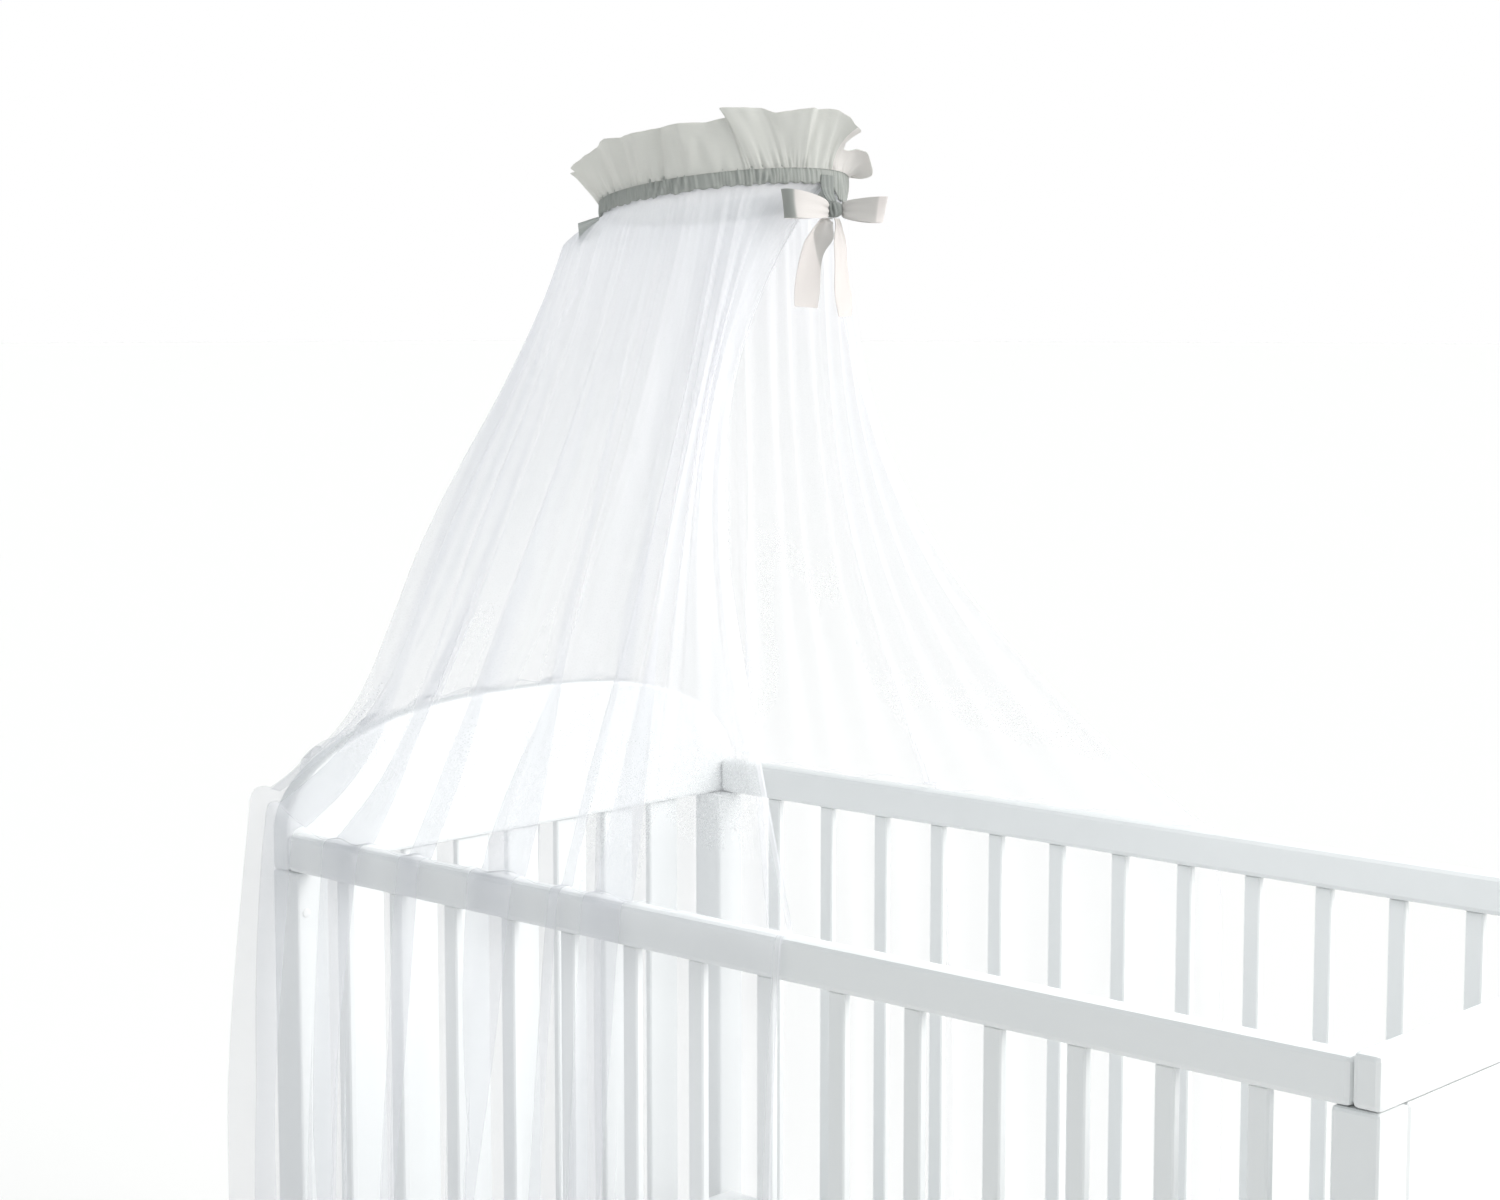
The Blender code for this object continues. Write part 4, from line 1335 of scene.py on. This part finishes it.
@dataclass
class Frill:
    """The frill above the casing: soft uneven pleats that flare and lean."""

    columns: int = 1080
    rows: int = 30
    foot_offset: float = 0.0067
    foot_drop: float = 0.0058
    softness: float = 1.5
    thickness: float = 0.0007
    hem_share: float = 0.09
    hem_step: float = 0.0004
    gather_depth: float = 0.0019
    crease_depth: float = 0.0011
    ripple_depth: float = 0.0005
    gather_counts: tuple[int, int] = (74, 119)
    cut: tuple[float, float] = (1.08, 0.050)
    # Azimuths between which the frill shows the lit copy of its cloth outside, beside the bow:
    # painted light on the lobe there
    lit_outside_azimuths: tuple[float, float] = (11.5, 58.0)
    # Columns: azimuths at the casing and at the hem, reach and rise over the hoop, and where
    # given, the puff between casing and hem and how late the fold flares
    folds: tuple[FrillFold, ...] = (
        FrillFold(-127, -125, 0.0365, 0.0270), FrillFold(-106, -107, 0.0230, 0.0380),
        FrillFold(-98, -98, 0.0300, 0.0422), FrillFold(-93, -91, 0.0235, 0.0400),
        FrillFold(-86.5, -82.5, 0.0335, 0.0392), FrillFold(-74, -72.5, 0.0200, 0.0416),
        FrillFold(-63, -63.5, 0.0335, 0.0406), FrillFold(-50.5, -53.8, 0.0200, 0.0400),
        FrillFold(-38, -45.5, 0.0235, 0.0420), FrillFold(-34.5, -48.4, 0.0345, 0.0500),
        FrillFold(-19.6, -31.5, 0.0205, 0.0486), FrillFold(-16.5, -26.5, 0.0245, 0.0428),
        FrillFold(-9.0, -12.5, 0.0345, 0.0455), FrillFold(-5.5, -7.0, 0.0235, 0.0464),
        FrillFold(-1, -2.5, 0.0265, 0.0468), FrillFold(4.5, 1.5, 0.0310, 0.0452),
        FrillFold(9, 8, 0.0320, 0.0390, 0.007, 2.0),
        FrillFold(13, 13.5, 0.0362, 0.0262, 0.007, 2.4),
        FrillFold(15, 16, 0.0167, 0.0231, 0.007, 2.4),
        FrillFold(18, 18.5, 0.0110, 0.0150, 0.008, 2.0),
        FrillFold(21, 22, 0.0133, 0.0135, 0.012, 1.6),
        FrillFold(25, 26, 0.0198, 0.0156, 0.016, 1.2),
        FrillFold(30, 30, 0.0267, 0.0130, 0.024, 1.0),
        FrillFold(35, 34, 0.0303, 0.0032, 0.020, 0.9),
        FrillFold(40, 39, 0.0305, -0.0078, 0.020, 0.9),
        FrillFold(45, 45, 0.0210, -0.0075, 0.016, 1.0), FrillFold(51, 51, 0.0107, -0.0034, 0.030),
        FrillFold(59, 59, 0.0111, 0.0096, 0.020), FrillFold(76, 78, 0.0330, 0.0230),
        FrillFold(90, 92, 0.0190, 0.0270), FrillFold(104, 103, 0.0340, 0.0290),
        FrillFold(118, 119, 0.0200, 0.0310), FrillFold(132, 134, 0.0345, 0.0330),
        FrillFold(147, 146, 0.0200, 0.0320), FrillFold(161, 163, 0.0350, 0.0330),
        FrillFold(176, 175, 0.0200, 0.0310), FrillFold(190, 189, 0.0360, 0.0300),
        FrillFold(206, 205, 0.0210, 0.0290), FrillFold(219, 221, 0.0350, 0.0280),
        FrillFold(227, 228, 0.0240, 0.0275),
    )

    def followed(self) -> list[Array]:
        """The folds' sizes read evenly along the cloth, with soft corners.

        Returns:
            Azimuths at the casing and the hem, reach, rise, puff and flare, one per column.
        """
        rows = [(f.foot, f.head, f.reach, f.rise, f.puff, f.flare) for f in self.folds]
        table = np.array(rows + [(rows[0][0] + 360, rows[0][1] + 360, *rows[0][2:])])
        turn, radius = np.radians(table[:, 1]), HOOP.radius + table[:, 2]
        hem = np.stack([radius * np.cos(turn), radius * np.sin(turn), table[:, 3]], axis=-1)
        marks = distances(hem)
        places = np.linspace(0, marks[-1], self.columns, endpoint=False)
        reach = int(4 * self.softness)
        even = []
        for number, column in enumerate(table.T):
            line = np.interp(places, marks, column)
            lap = 360.0 if number < 2 else 0.0
            padded = np.concatenate([line[-reach:] - lap, line, line[:reach] + lap])
            even.append(blurred(padded, reach, self.softness))
        return even

    def build(self) -> bpy.types.Object:
        """Make the frill and return it."""
        foot, head, reach, rise, puff, flare = self.followed()
        turn = np.linspace(0, 2 * math.pi, self.columns, endpoint=False)
        drift = 1.5 * np.sin(6 * turn) + 1.1 * np.sin(11 * turn + 1.0)
        coarse, close = self.gather_counts
        gather = np.sin(coarse * turn + drift) + 0.6 * np.sin(close * turn - 1.3 * drift)
        gather = gather * (0.7 + 0.3 * np.sin(9 * turn + 0.3))
        crease = np.sin(31 * turn + 1.4 * drift) + 0.5 * np.sin(47 * turn + 2.0)
        ripple = np.sin(53 * turn - drift)
        lines = []
        for share in np.linspace(0, 1, self.rows):
            azimuth = foot + (head - foot) * share
            offset = self.foot_offset + (reach - self.foot_offset) * share**flare
            fade = math.exp(-share / 0.17)
            offset = offset + self.gather_depth * gather * fade * min(share / 0.04, 1.0)
            middle = math.sin(math.pi * min(share / 0.8, 1.0))
            offset = offset + self.crease_depth * crease * middle
            offset = offset + self.ripple_depth * ripple * share**2
            if share > 1 - self.hem_share:
                offset = offset + self.hem_step
            start = HOOP.band_top() - self.foot_drop
            height = start + (rise + self.foot_drop) * share + puff * share * (1 - share)
            lines.append(HOOP.point(azimuth, HOOP.radius + offset, height))
        grid = np.stack(lines)
        flat = flat_places(turn * 0.2, distances(grid.mean(axis=1)))
        # Painted light and shade: the frill's outside takes the sage copy of the cloth in painted
        # shade, its inside the pale copy in painted light.
        materials = lit_and_shaded_faces(LIT_COTTON, SHADED_COTTON)
        item = sheet_object("frill", grid, materials, flat, closed=True)
        # Painted light: beside the bow the lit copy shows outside instead, for the lobe that the
        # light catches.
        lit_outside = (foot > self.lit_outside_azimuths[0]) & (foot < self.lit_outside_azimuths[1])
        set_lit_outside(item, np.tile(lit_outside, self.rows - 1))
        thicken(item, self.thickness, sides=1)
        settle(item, "sage_cotton", "ruffle")
        return item


# ---------------------------------------------------------------------------
# Bow


@dataclass(frozen=True)
class LoopShape:
    """One loop of the bow."""

    name: str
    node: str
    azimuth: float
    root: float
    length: float
    twist: float
    fullness: float
    end_share: float
    # Painted shade on the loop's root part and on its end, from 0 to 1
    turned: tuple[float, float]
    rise: float


@dataclass(frozen=True)
class TailShape:
    """One free end of the bow."""

    name: str
    node: str
    start: float
    drift_way: float
    drift: float
    drop: float
    face_top: float
    face_foot: float
    curl: float
    slant: float
    width: float
    fold: float
    drift_power: float


@dataclass
class Bow:
    """The ribbon bow: knot, two loops, two ends and the neck that ties it to the casing."""

    azimuth: float = 5.0
    reach: float = 0.0170
    drop: float = 0.0410
    ribbon: float = 0.028
    thickness: float = 0.0008
    knot: tuple[float, float, float] = (0.015, 0.019, 0.016)
    pinch: float = 0.42
    root_swell: float = 0.30
    end_offset: float = 0.0011
    loop_fold: float = 0.0009
    loop_cup: float = 0.0016
    loop_sag: float = 0.0025
    # Length of the ribbon in a loop over the loop's own length
    loop_path: float = 2.1
    neck_cut: tuple[float, float] = (0.024, 0.032)
    neck_clearance: float = 0.00145
    # Where the wide end's top corner is folded over: how far it reaches, and its slope
    corner: tuple[float, float] = (0.75, 3.1)
    tail_spacing: float = 0.0042
    tail_seat: float = 0.00046
    tail_root: float = 0.38
    tail_fold: float = 0.0011
    tail_roll: float = 0.0022
    # Soft edge and depth of the painted shade on the folded-over corner
    corner_edge: float = 0.16
    corner_shade: float = 0.4
    # The knot: how square its outline is, and its number and depth of folds
    knot_power: float = 2.6
    knot_folds: tuple[int, float] = (9, 0.11)
    loops: tuple[LoopShape, ...] = (
        LoopShape("bow_left_loop", "bow_loop_left", -86.0, 0.0092, 0.064, -0.15, 0.0115,
                  0.93, (0.16, 0.92), 0.0060),
        LoopShape("bow_right_loop", "bow_loop_right", 62.0, 0.0102, 0.044, -0.5, 0.0085,
                  0.76, (0.45, 0.0), 0.0030),
    )
    tails: tuple[TailShape, ...] = (
        TailShape(
            "bow_wide_end", "bow_tail_wide", -86.0, -110.0, 0.027, 0.086, 10.0, -14.0,
            0.0030, 0.06, 0.97, 1.0, 0.30,
        ),
        TailShape(
            "bow_narrow_end", "bow_tail_narrow", 62.0, 40.0, 0.008, 0.095, 14.0, 10.0,
            0.0022, -0.04, 0.93, 0.0, 0.8,
        ),
    )
    made: list[bpy.types.Object] = field(default_factory=list)

    def centre(self) -> Array:
        """Middle of the knot."""
        return HOOP.point(self.azimuth, HOOP.radius + self.reach, -self.drop)

    def place(
        self,
        name: str,
        node: str,
        grid: Array,
        flat: Array,
        cut: Sequence[float],
        turned: Array | None = None,
    ) -> None:
        """Make one length of ribbon.

        Args:
            name: The piece's name.
            node: The solid that it stands for.
            grid: Its points.
            flat: Where they lie on the flat ribbon.
            cut: Not used.
            turned: How much painted shade each point shows, from 0 to 1. Without it, the whole
                piece takes the ribbon's colour of painted shade, as the drawn-up part that lies in
                shade.
        """
        material = self.shaded if turned is None else self.face
        item = sheet_object(name, grid, [material], flat)
        if turned is not None:
            keep_values(item.data, "turned", turned)
        thicken(item, self.thickness)
        settle(item, "sand_ribbon", node)
        self.made.append(item)

    def add_loop(self, shape: LoopShape) -> None:
        """One loop: ribbon that leaves the knot, turns round and comes back.

        Args:
            shape: The loop's shape.
        """
        along = heading(shape.azimuth)
        side = np.array([-along[1], along[0], 0.0])
        up = np.array([0.0, 0.0, 1.0])
        start = self.centre() + along * shape.root
        lines = []
        lifts = np.linspace(-1, 1, 19)
        places = np.linspace(0, 1, 73)
        for lift in lifts:
            line = []
            for place in places:
                turn = 2 * math.pi * place
                out = shape.length * (1 - math.cos(turn)) / 2
                share = out / shape.length
                round_end = math.copysign(abs(math.sin(turn)) ** 0.72, math.sin(turn))
                swell = round_end * (self.root_swell + (1 - self.root_swell) * share)
                belly = shape.fullness * swell
                belly -= self.end_offset * math.copysign(1 - share, place - 0.5)
                width = self.ribbon * (self.pinch + (1 - self.pinch) * math.sqrt(share))
                tilt = shape.twist * share**1.5
                rise = up * math.cos(tilt) + side * math.sin(tilt)
                fade = math.exp(-share / 0.28)
                fold = math.sin(7.5 * lift + 0.6) * fade * min(share / 0.02, 1.0)
                fold *= self.loop_fold
                cup = self.loop_cup * (lift * lift - 0.4) * share * math.sin(turn)
                sag = (shape.rise - self.loop_sag) * share
                line.append(
                    start + along * out - side * (belly + fold + cup)
                    + rise * lift * width / 2 + up * sag
                )
            lines.append(line)
        length = shape.length * self.loop_path
        flat = flat_places(places * length, lifts * self.ribbon / 2)
        # Painted shade along the loop: one depth on its root part and another past end_share, dark
        # where the left loop's end lies in shade, none where the right loop's end catches the
        # light.
        out = (1 - np.cos(2 * math.pi * places)) / 2
        at_end = smooth_step((out - shape.end_share) / 0.05 + 0.5)
        depth = shape.turned[0] + (shape.turned[1] - shape.turned[0]) * at_end
        turned = np.tile(depth, (len(lifts), 1))
        cut = (self.ribbon, length)
        self.place(shape.name, shape.node, np.array(lines), flat, cut, turned)

    def add_tail(self, shape: TailShape) -> None:
        """One free end, hanging from under the knot with a slight twist.

        Args:
            shape: The end's shape.
        """
        start = self.centre() + heading(shape.start) * self.tail_spacing
        start = start - np.array([0.0, 0.0, self.knot[2] / 2 + self.tail_seat])
        corner, slope = self.corner
        lines = []
        sides = np.linspace(-1, 1, 33)
        places = np.linspace(0, 1, 91)
        for side in sides:
            line = []
            for place in places:
                middle = start + heading(shape.drift_way) * shape.drift * place**shape.drift_power
                middle = middle - np.array([0.0, 0.0, shape.drop * place])
                turned = eased(place, 0.0, 0.5)
                facing = shape.face_top + (shape.face_foot - shape.face_top) * turned
                across, out = heading(facing + 90), heading(facing)
                opened = eased(place, 0.0, 0.3)
                width = self.ribbon * (self.tail_root + (shape.width - self.tail_root) * opened)
                fold = self.tail_fold * math.sin(6.5 * side) * math.exp(-place / 0.2)
                curl = shape.curl * (side * side - 0.33) * math.exp(-place / 0.45)
                roll = self.tail_roll * math.sin(2.6 * math.pi * place + 1.2 * side) * place
                slant = np.array([0.0, 0.0, -shape.slant * side * width / 2 * place])
                fade = min(place / 0.05, 1.0)
                crease = max(side + corner - slope * place, 0.0) * width / 2
                curl += shape.fold * crease * smooth_step(1.6 - place / 0.32)
                line.append(middle + across * width * side / 2 + slant
                            + out * (fold + curl + roll) * fade)
            lines.append(line)
        flat = flat_places(places * shape.drop, sides * self.ribbon / 2)
        # Painted shade over the wide end's folded-over corner, with a soft edge.
        at_side, at_place = np.meshgrid(sides, places, indexing="ij")
        edge = at_side + corner - slope * at_place
        shown = smooth_step(edge / self.corner_edge + 0.5) * min(shape.fold, 1.0)
        turned = self.corner_shade * shown
        cut = (self.ribbon, shape.drop)
        self.place(shape.name, shape.node, np.array(lines), flat, cut, turned)

    def add_neck(self) -> None:
        """The ribbon from the knot up over the casing, drawn into creases."""
        on_band = HOOP.radius + HOOP.band_top() + self.neck_clearance
        foot = self.knot[2] / 2 - self.drop + 0.0012
        # Columns: height over the hoop's middle, radius, share of the full width
        steps = np.array(
            [
                (foot - 0.0006, HOOP.radius + self.reach - 0.0030, 0.62),
                (foot + 0.007, on_band + 0.0022, 0.80),
                (-0.0180, on_band + 0.0004, 0.95),
                (-0.0110, on_band + 0.0002, 1.0),
                (-0.0060, on_band + 0.0003, 1.0),
            ]
        )
        places = np.linspace(0, len(steps) - 1, 37)
        table = [np.interp(places, range(len(steps)), steps[:, column]) for column in range(3)]
        sides = np.linspace(-1, 1, 21)
        lines = []
        for side in sides:
            crease = 0.0007 * np.sin(9.0 * side + 0.5 * places) * (1 - 0.5 * places / places[-1])
            radius = table[1] + np.maximum(crease, -0.0003)
            turn = self.azimuth + 2.5 * table[2] + side * 5.0 * table[2]
            lines.append(HOOP.point(turn, radius, table[0]))
        flat = flat_places(places * 0.008, sides * 0.009)
        self.place("bow_neck_ribbon", "bow_neck", np.array(lines)[::-1], flat, self.neck_cut)

    def add_knot(self) -> None:
        """The knot: ribbon wrapped round, with folds that run down its front."""
        turns = np.linspace(0, 2 * math.pi, 96, endpoint=False)
        tilts = np.linspace(-1, 1, 37)
        half = [size / 2 for size in self.knot]
        count, depth = self.knot_folds
        facing = math.radians(self.azimuth)
        lines = []
        for tilt in tilts:
            ring = math.copysign(abs(math.sin(tilt * math.pi / 2)), tilt)
            level = max(1 - abs(ring) ** self.knot_power, 0.0) ** (1 / self.knot_power)
            line = []
            for turn in turns:
                c, s = math.cos(turn), math.sin(turn)
                x = math.copysign(abs(c) ** 0.75, c) * half[0] * level
                y = math.copysign(abs(s) ** 0.75, s) * half[1] * level
                pull = 1 + depth * math.sin(count * turn + 1.8 * ring) * level
                pull -= 0.06 * bell(ring, 0.3) * abs(s)
                z = ring * half[2] * 0.98
                px = x * math.cos(facing) - y * math.sin(facing)
                py = x * math.sin(facing) + y * math.cos(facing)
                line.append(self.centre() + np.array([px * pull, py * pull, z]))
            lines.append(line)
        grid = np.array(lines)
        item = sheet_object("bow_tie_knot", grid, [self.shaded], closed=True, turned=True)
        self.close_ends(item, len(turns), len(tilts))
        settle(item, "sand_ribbon", "bow_knot")
        self.made.append(item)

    @staticmethod
    def close_ends(item: bpy.types.Object, around: int, rows: int) -> None:
        """Draw the first and the last ring of a closed form together to one point each.

        Args:
            item: The form.
            around: Points in a ring.
            rows: Number of rings.
        """
        weld = item.modifiers.new("poles", "WELD")
        weld.merge_threshold = 0.00003
        points = np.zeros(around * rows * 3, np.float32)
        item.data.vertices.foreach_get("co", points)
        points = points.reshape(rows, around, 3)
        for row in (0, rows - 1):
            points[row] = points[row].mean(axis=0)
        item.data.vertices.foreach_set("co", points.ravel())
        apply_modifiers(item)
        item.data.shade_smooth()

    def build(self) -> list[bpy.types.Object]:
        """Make the whole bow and return its pieces."""
        self.face = RIBBON.material()
        self.shaded = RIBBON_SHADED.material()
        for loop in self.loops:
            self.add_loop(loop)
        for tail in self.tails:
            self.add_tail(tail)
        self.add_neck()
        self.add_knot()
        return self.made


@dataclass
class RearTab:
    """The short folded ribbon end at the back of the casing, above the net's shoulder."""

    azimuth: float = -121.0
    outward: float = -137.5
    length: float = 0.022
    width: float = 0.020
    fall: float = 16.0
    turned: float = 80.0
    start: float = 0.1270
    height: float = -0.0275
    thickness: float = 0.0008
    # The raised lip along its upper edge: depth, place across and spread
    lip: tuple[float, float, float] = (0.0035, 0.72, 0.22)

    def build(self) -> bpy.types.Object:
        """Make the tab and return it."""
        fall, turned = math.radians(self.fall), math.radians(self.turned)
        along = heading(self.outward) * math.cos(fall) - np.array([0, 0, math.sin(fall)])
        level = heading(self.outward + 90)
        rise = np.cross(level, along) * -1
        across = rise * math.sin(turned) - level * math.cos(turned)
        out = np.cross(across, along)
        start = HOOP.point(self.azimuth, self.start, self.height)
        depth, middle, spread = self.lip
        lines = []
        sides, places = np.linspace(-1, 1, 17), np.linspace(0, 1, 31)
        for side in sides:
            line = []
            for place in places:
                lip = depth * bell(side - middle, spread) * (1 - 0.5 * place)
                roll = 0.0016 * math.sin(3.4 * place + 1.5 * side) - 0.004 * place**2
                width = self.width * (0.86 + 0.14 * place) / 2
                point = start + along * (self.length * place - 0.002 * side)
                line.append(point + across * width * side + out * (lip + roll))
            lines.append(line)
        flat = flat_places(places * self.length, sides * self.width / 2)
        # Painted shade: the tab takes the sage copy of the ribbon that stands for half shade.
        item = sheet_object("rear_ribbon_tab", np.array(lines), [HALF_SHADED_RIBBON.material()], flat)
        thicken(item, self.thickness)
        settle(item, "sand_ribbon", "rear_tab")
        return item


# ---------------------------------------------------------------------------
# Repeated small things


@dataclass(frozen=True)
class BoltCaps:
    """Round caps over the bolts that hold the cot together."""

    radius: float = 0.0048
    rise: float = 0.0012
    inset: float = 0.011
    heights: tuple[float, float] = (0.770, 0.215)

    @staticmethod
    def tree() -> bpy.types.NodeTree:
        """The tree that sets a round cap on every point, with the inputs named below."""
        graph, (points, radius, rise) = start_tree("bolt_caps", ("Radius", "Rise"))
        ball = graph.value(
            "GeometryNodeMeshUVSphere", {}, {"Segments": 24, "Rings": 12, "Radius": 1.0}, "Mesh"
        )
        size = graph.value("ShaderNodeCombineXYZ", {}, {0: radius, 1: radius, 2: rise})
        cap = graph.value("GeometryNodeTransform", {}, {"Geometry": ball, "Scale": size})
        facing = kept_values(graph, "facing", "FLOAT_VECTOR")
        align = "FunctionNodeAlignRotationToVector"
        turned = graph.value(align, {"axis": "Z"}, {"Vector": facing})
        inputs = {"Points": points, "Instance": cap, "Rotation": turned}
        many = graph.value("GeometryNodeInstanceOnPoints", {}, inputs)
        return end_tree(graph, many, WHITE_PLASTIC.material())

    def build(self) -> bpy.types.Object:
        """Make the caps on the posts' inner faces, all as one piece."""
        head_x, foot_x = COT.head_x + COT.post_side, COT.head_x + COT.length - COT.post_side
        side_y = COT.width / 2 - self.inset
        spots, ways = [], []
        for x, way in ((head_x, 1.0), (foot_x, -1.0)):
            for y in (-side_y, side_y):
                for z in self.heights:
                    spots.append((x, y, z))
                    ways.append((way, 0.0, 0.0))
        mesh = bpy.data.meshes.new("bolt_caps")
        mesh.from_pydata(spots, [], [])
        keep_values(mesh, "facing", ways, vector=True)
        item = add_object("bolt_caps", mesh)
        use_tree(item, self.tree(), {"Radius": self.radius, "Rise": self.rise})
        apply_modifiers(item)
        settle(item, "white_plastic")
        return item


# ---------------------------------------------------------------------------
# Cot and studio


@dataclass
class Cot:
    """The plain painted cot, shown as packed."""

    frame: dict[str, Any]

    def dress(self) -> None:
        """Paint every solid that still shows."""
        paint = WHITE_PAINT.material()
        plastic = WHITE_PLASTIC.material()
        for name, node in self.frame["nodes"].items():
            finish = plastic if name == "hoop" else paint
            node.data.materials.clear()
            node.data.materials.append(finish)
        LOG.info("cot: painted")


@dataclass(frozen=True)
class Studio:
    """Floor, light and camera."""

    camera_place: tuple[float, float, float] = (1.559, -1.963, 1.360)
    camera_pitch: float = -5.85
    camera_yaw: float = 42.69
    lens: float = 63.98
    sensor_width: float = 36.0
    # Columns: azimuth, height in degrees, strength, softness in degrees
    suns: tuple[tuple[float, float, float, float], ...] = (
        (58.0, 38.0, 2.25, 50.0),
        (12.0, 20.0, 1.72, 40.0),
        (-105.0, 35.0, 0.24, 60.0),
    )
    sun_colour: tuple[float, float, float] = (1.0, 0.985, 0.965)
    fill_place: tuple[float, float, float] = (0.38, -0.05, 1.35)
    fill_size: float = 0.8
    fill_power: float = 2.8
    ambient: tuple[float, float, float] = (0.46, 0.50, 0.515)
    backdrop: tuple[float, float, float] = (1.0, 1.0, 1.0)
    floor_reach: float = 200.0

    def build(self) -> None:
        """Make the stage."""
        self.add_floor()
        self.add_light()
        self.add_world()
        self.add_camera()
        bpy.context.scene.view_settings.view_transform = "Standard"

    def add_floor(self) -> None:
        """A wide pale floor."""
        reach = self.floor_reach
        mesh = bpy.data.meshes.new("floor")
        corners = [(-reach, -reach, 0), (reach, -reach, 0), (reach, reach, 0), (-reach, reach, 0)]
        mesh.from_pydata(corners, [], [(0, 1, 2, 3)])
        mesh.materials.append(FLOOR.material())
        add_object("floor", mesh)

    def add_light(self) -> None:
        """Three broad soft lights, and a panel that brightens the inside of the cot."""
        for number, (azimuth, height, strength, softness) in enumerate(self.suns):
            level = heading(azimuth) * math.cos(math.radians(height))
            away = Vector((level[0], level[1], math.sin(math.radians(height))))
            sun = bpy.data.lights.new(f"window_light_{number + 1}", "SUN")
            sun.energy = strength
            sun.angle = math.radians(softness)
            sun.color = self.sun_colour
            self.place_light(sun, away * 4, away)
        panel = bpy.data.lights.new("fill_light", "AREA")
        panel.energy = self.fill_power
        panel.shape = "DISK"
        panel.size = self.fill_size
        self.place_light(panel, Vector(self.fill_place), Vector((0, 0, 1)))

    @staticmethod
    def place_light(data: bpy.types.Light, place: Vector, away: Vector) -> None:
        """Put a light into the scene.

        Args:
            data: The light.
            place: Where it is.
            away: The direction from what it lights to the light.
        """
        light = add_object(data.name, data)
        light.location = place
        light.rotation_euler = away.to_track_quat("Z", "Y").to_euler()
        light.visible_camera = False

    def add_world(self) -> None:
        """A white backdrop and a cooler, dimmer light from all round."""
        world = bpy.data.worlds.new("studio")
        bpy.context.scene.world = world
        world.use_nodes = True
        world.node_tree.nodes.clear()
        graph = Graph(world.node_tree)
        seen = graph.value("ShaderNodeLightPath", {}, {}, "Is Camera Ray")
        dim = graph.value("ShaderNodeBackground", {}, {"Color": colour(*self.ambient)})
        white = graph.value("ShaderNodeBackground", {}, {"Color": colour(*self.backdrop)})
        both = graph.value("ShaderNodeMixShader", {}, {0: seen, 1: dim, 2: white})
        graph.node("ShaderNodeOutputWorld", {}, {"Surface": both})

    def add_camera(self) -> None:
        """The camera, where the photograph was taken from."""
        data = bpy.data.cameras.new("camera")
        data.sensor_width = self.sensor_width
        data.lens = self.lens
        data.clip_end = 5 * self.floor_reach
        camera = add_object("camera", data)
        camera.location = self.camera_place
        pitch = math.pi / 2 + math.radians(self.camera_pitch)
        camera.rotation_euler = (pitch, 0.0, math.radians(self.camera_yaw))
        bpy.context.scene.camera = camera


def corners(box: Iterable[Vector]) -> list[list[float]]:
    """A box as plain lists."""
    return [[float(value) for value in corner] for corner in box]


def main() -> None:
    """Build every piece in order."""
    logging.basicConfig(level=logging.INFO, format="%(message)s")
    for item in list(bpy.data.objects):
        bpy.data.objects.remove(item)
    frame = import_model()
    Cot(frame).dress()
    NetCanopy().build()
    Casing().build()
    Frill().build()
    Bow().build()
    RearTab().build()
    BoltCaps().build()
    Studio().build()


if __name__ == "__main__":
    main()
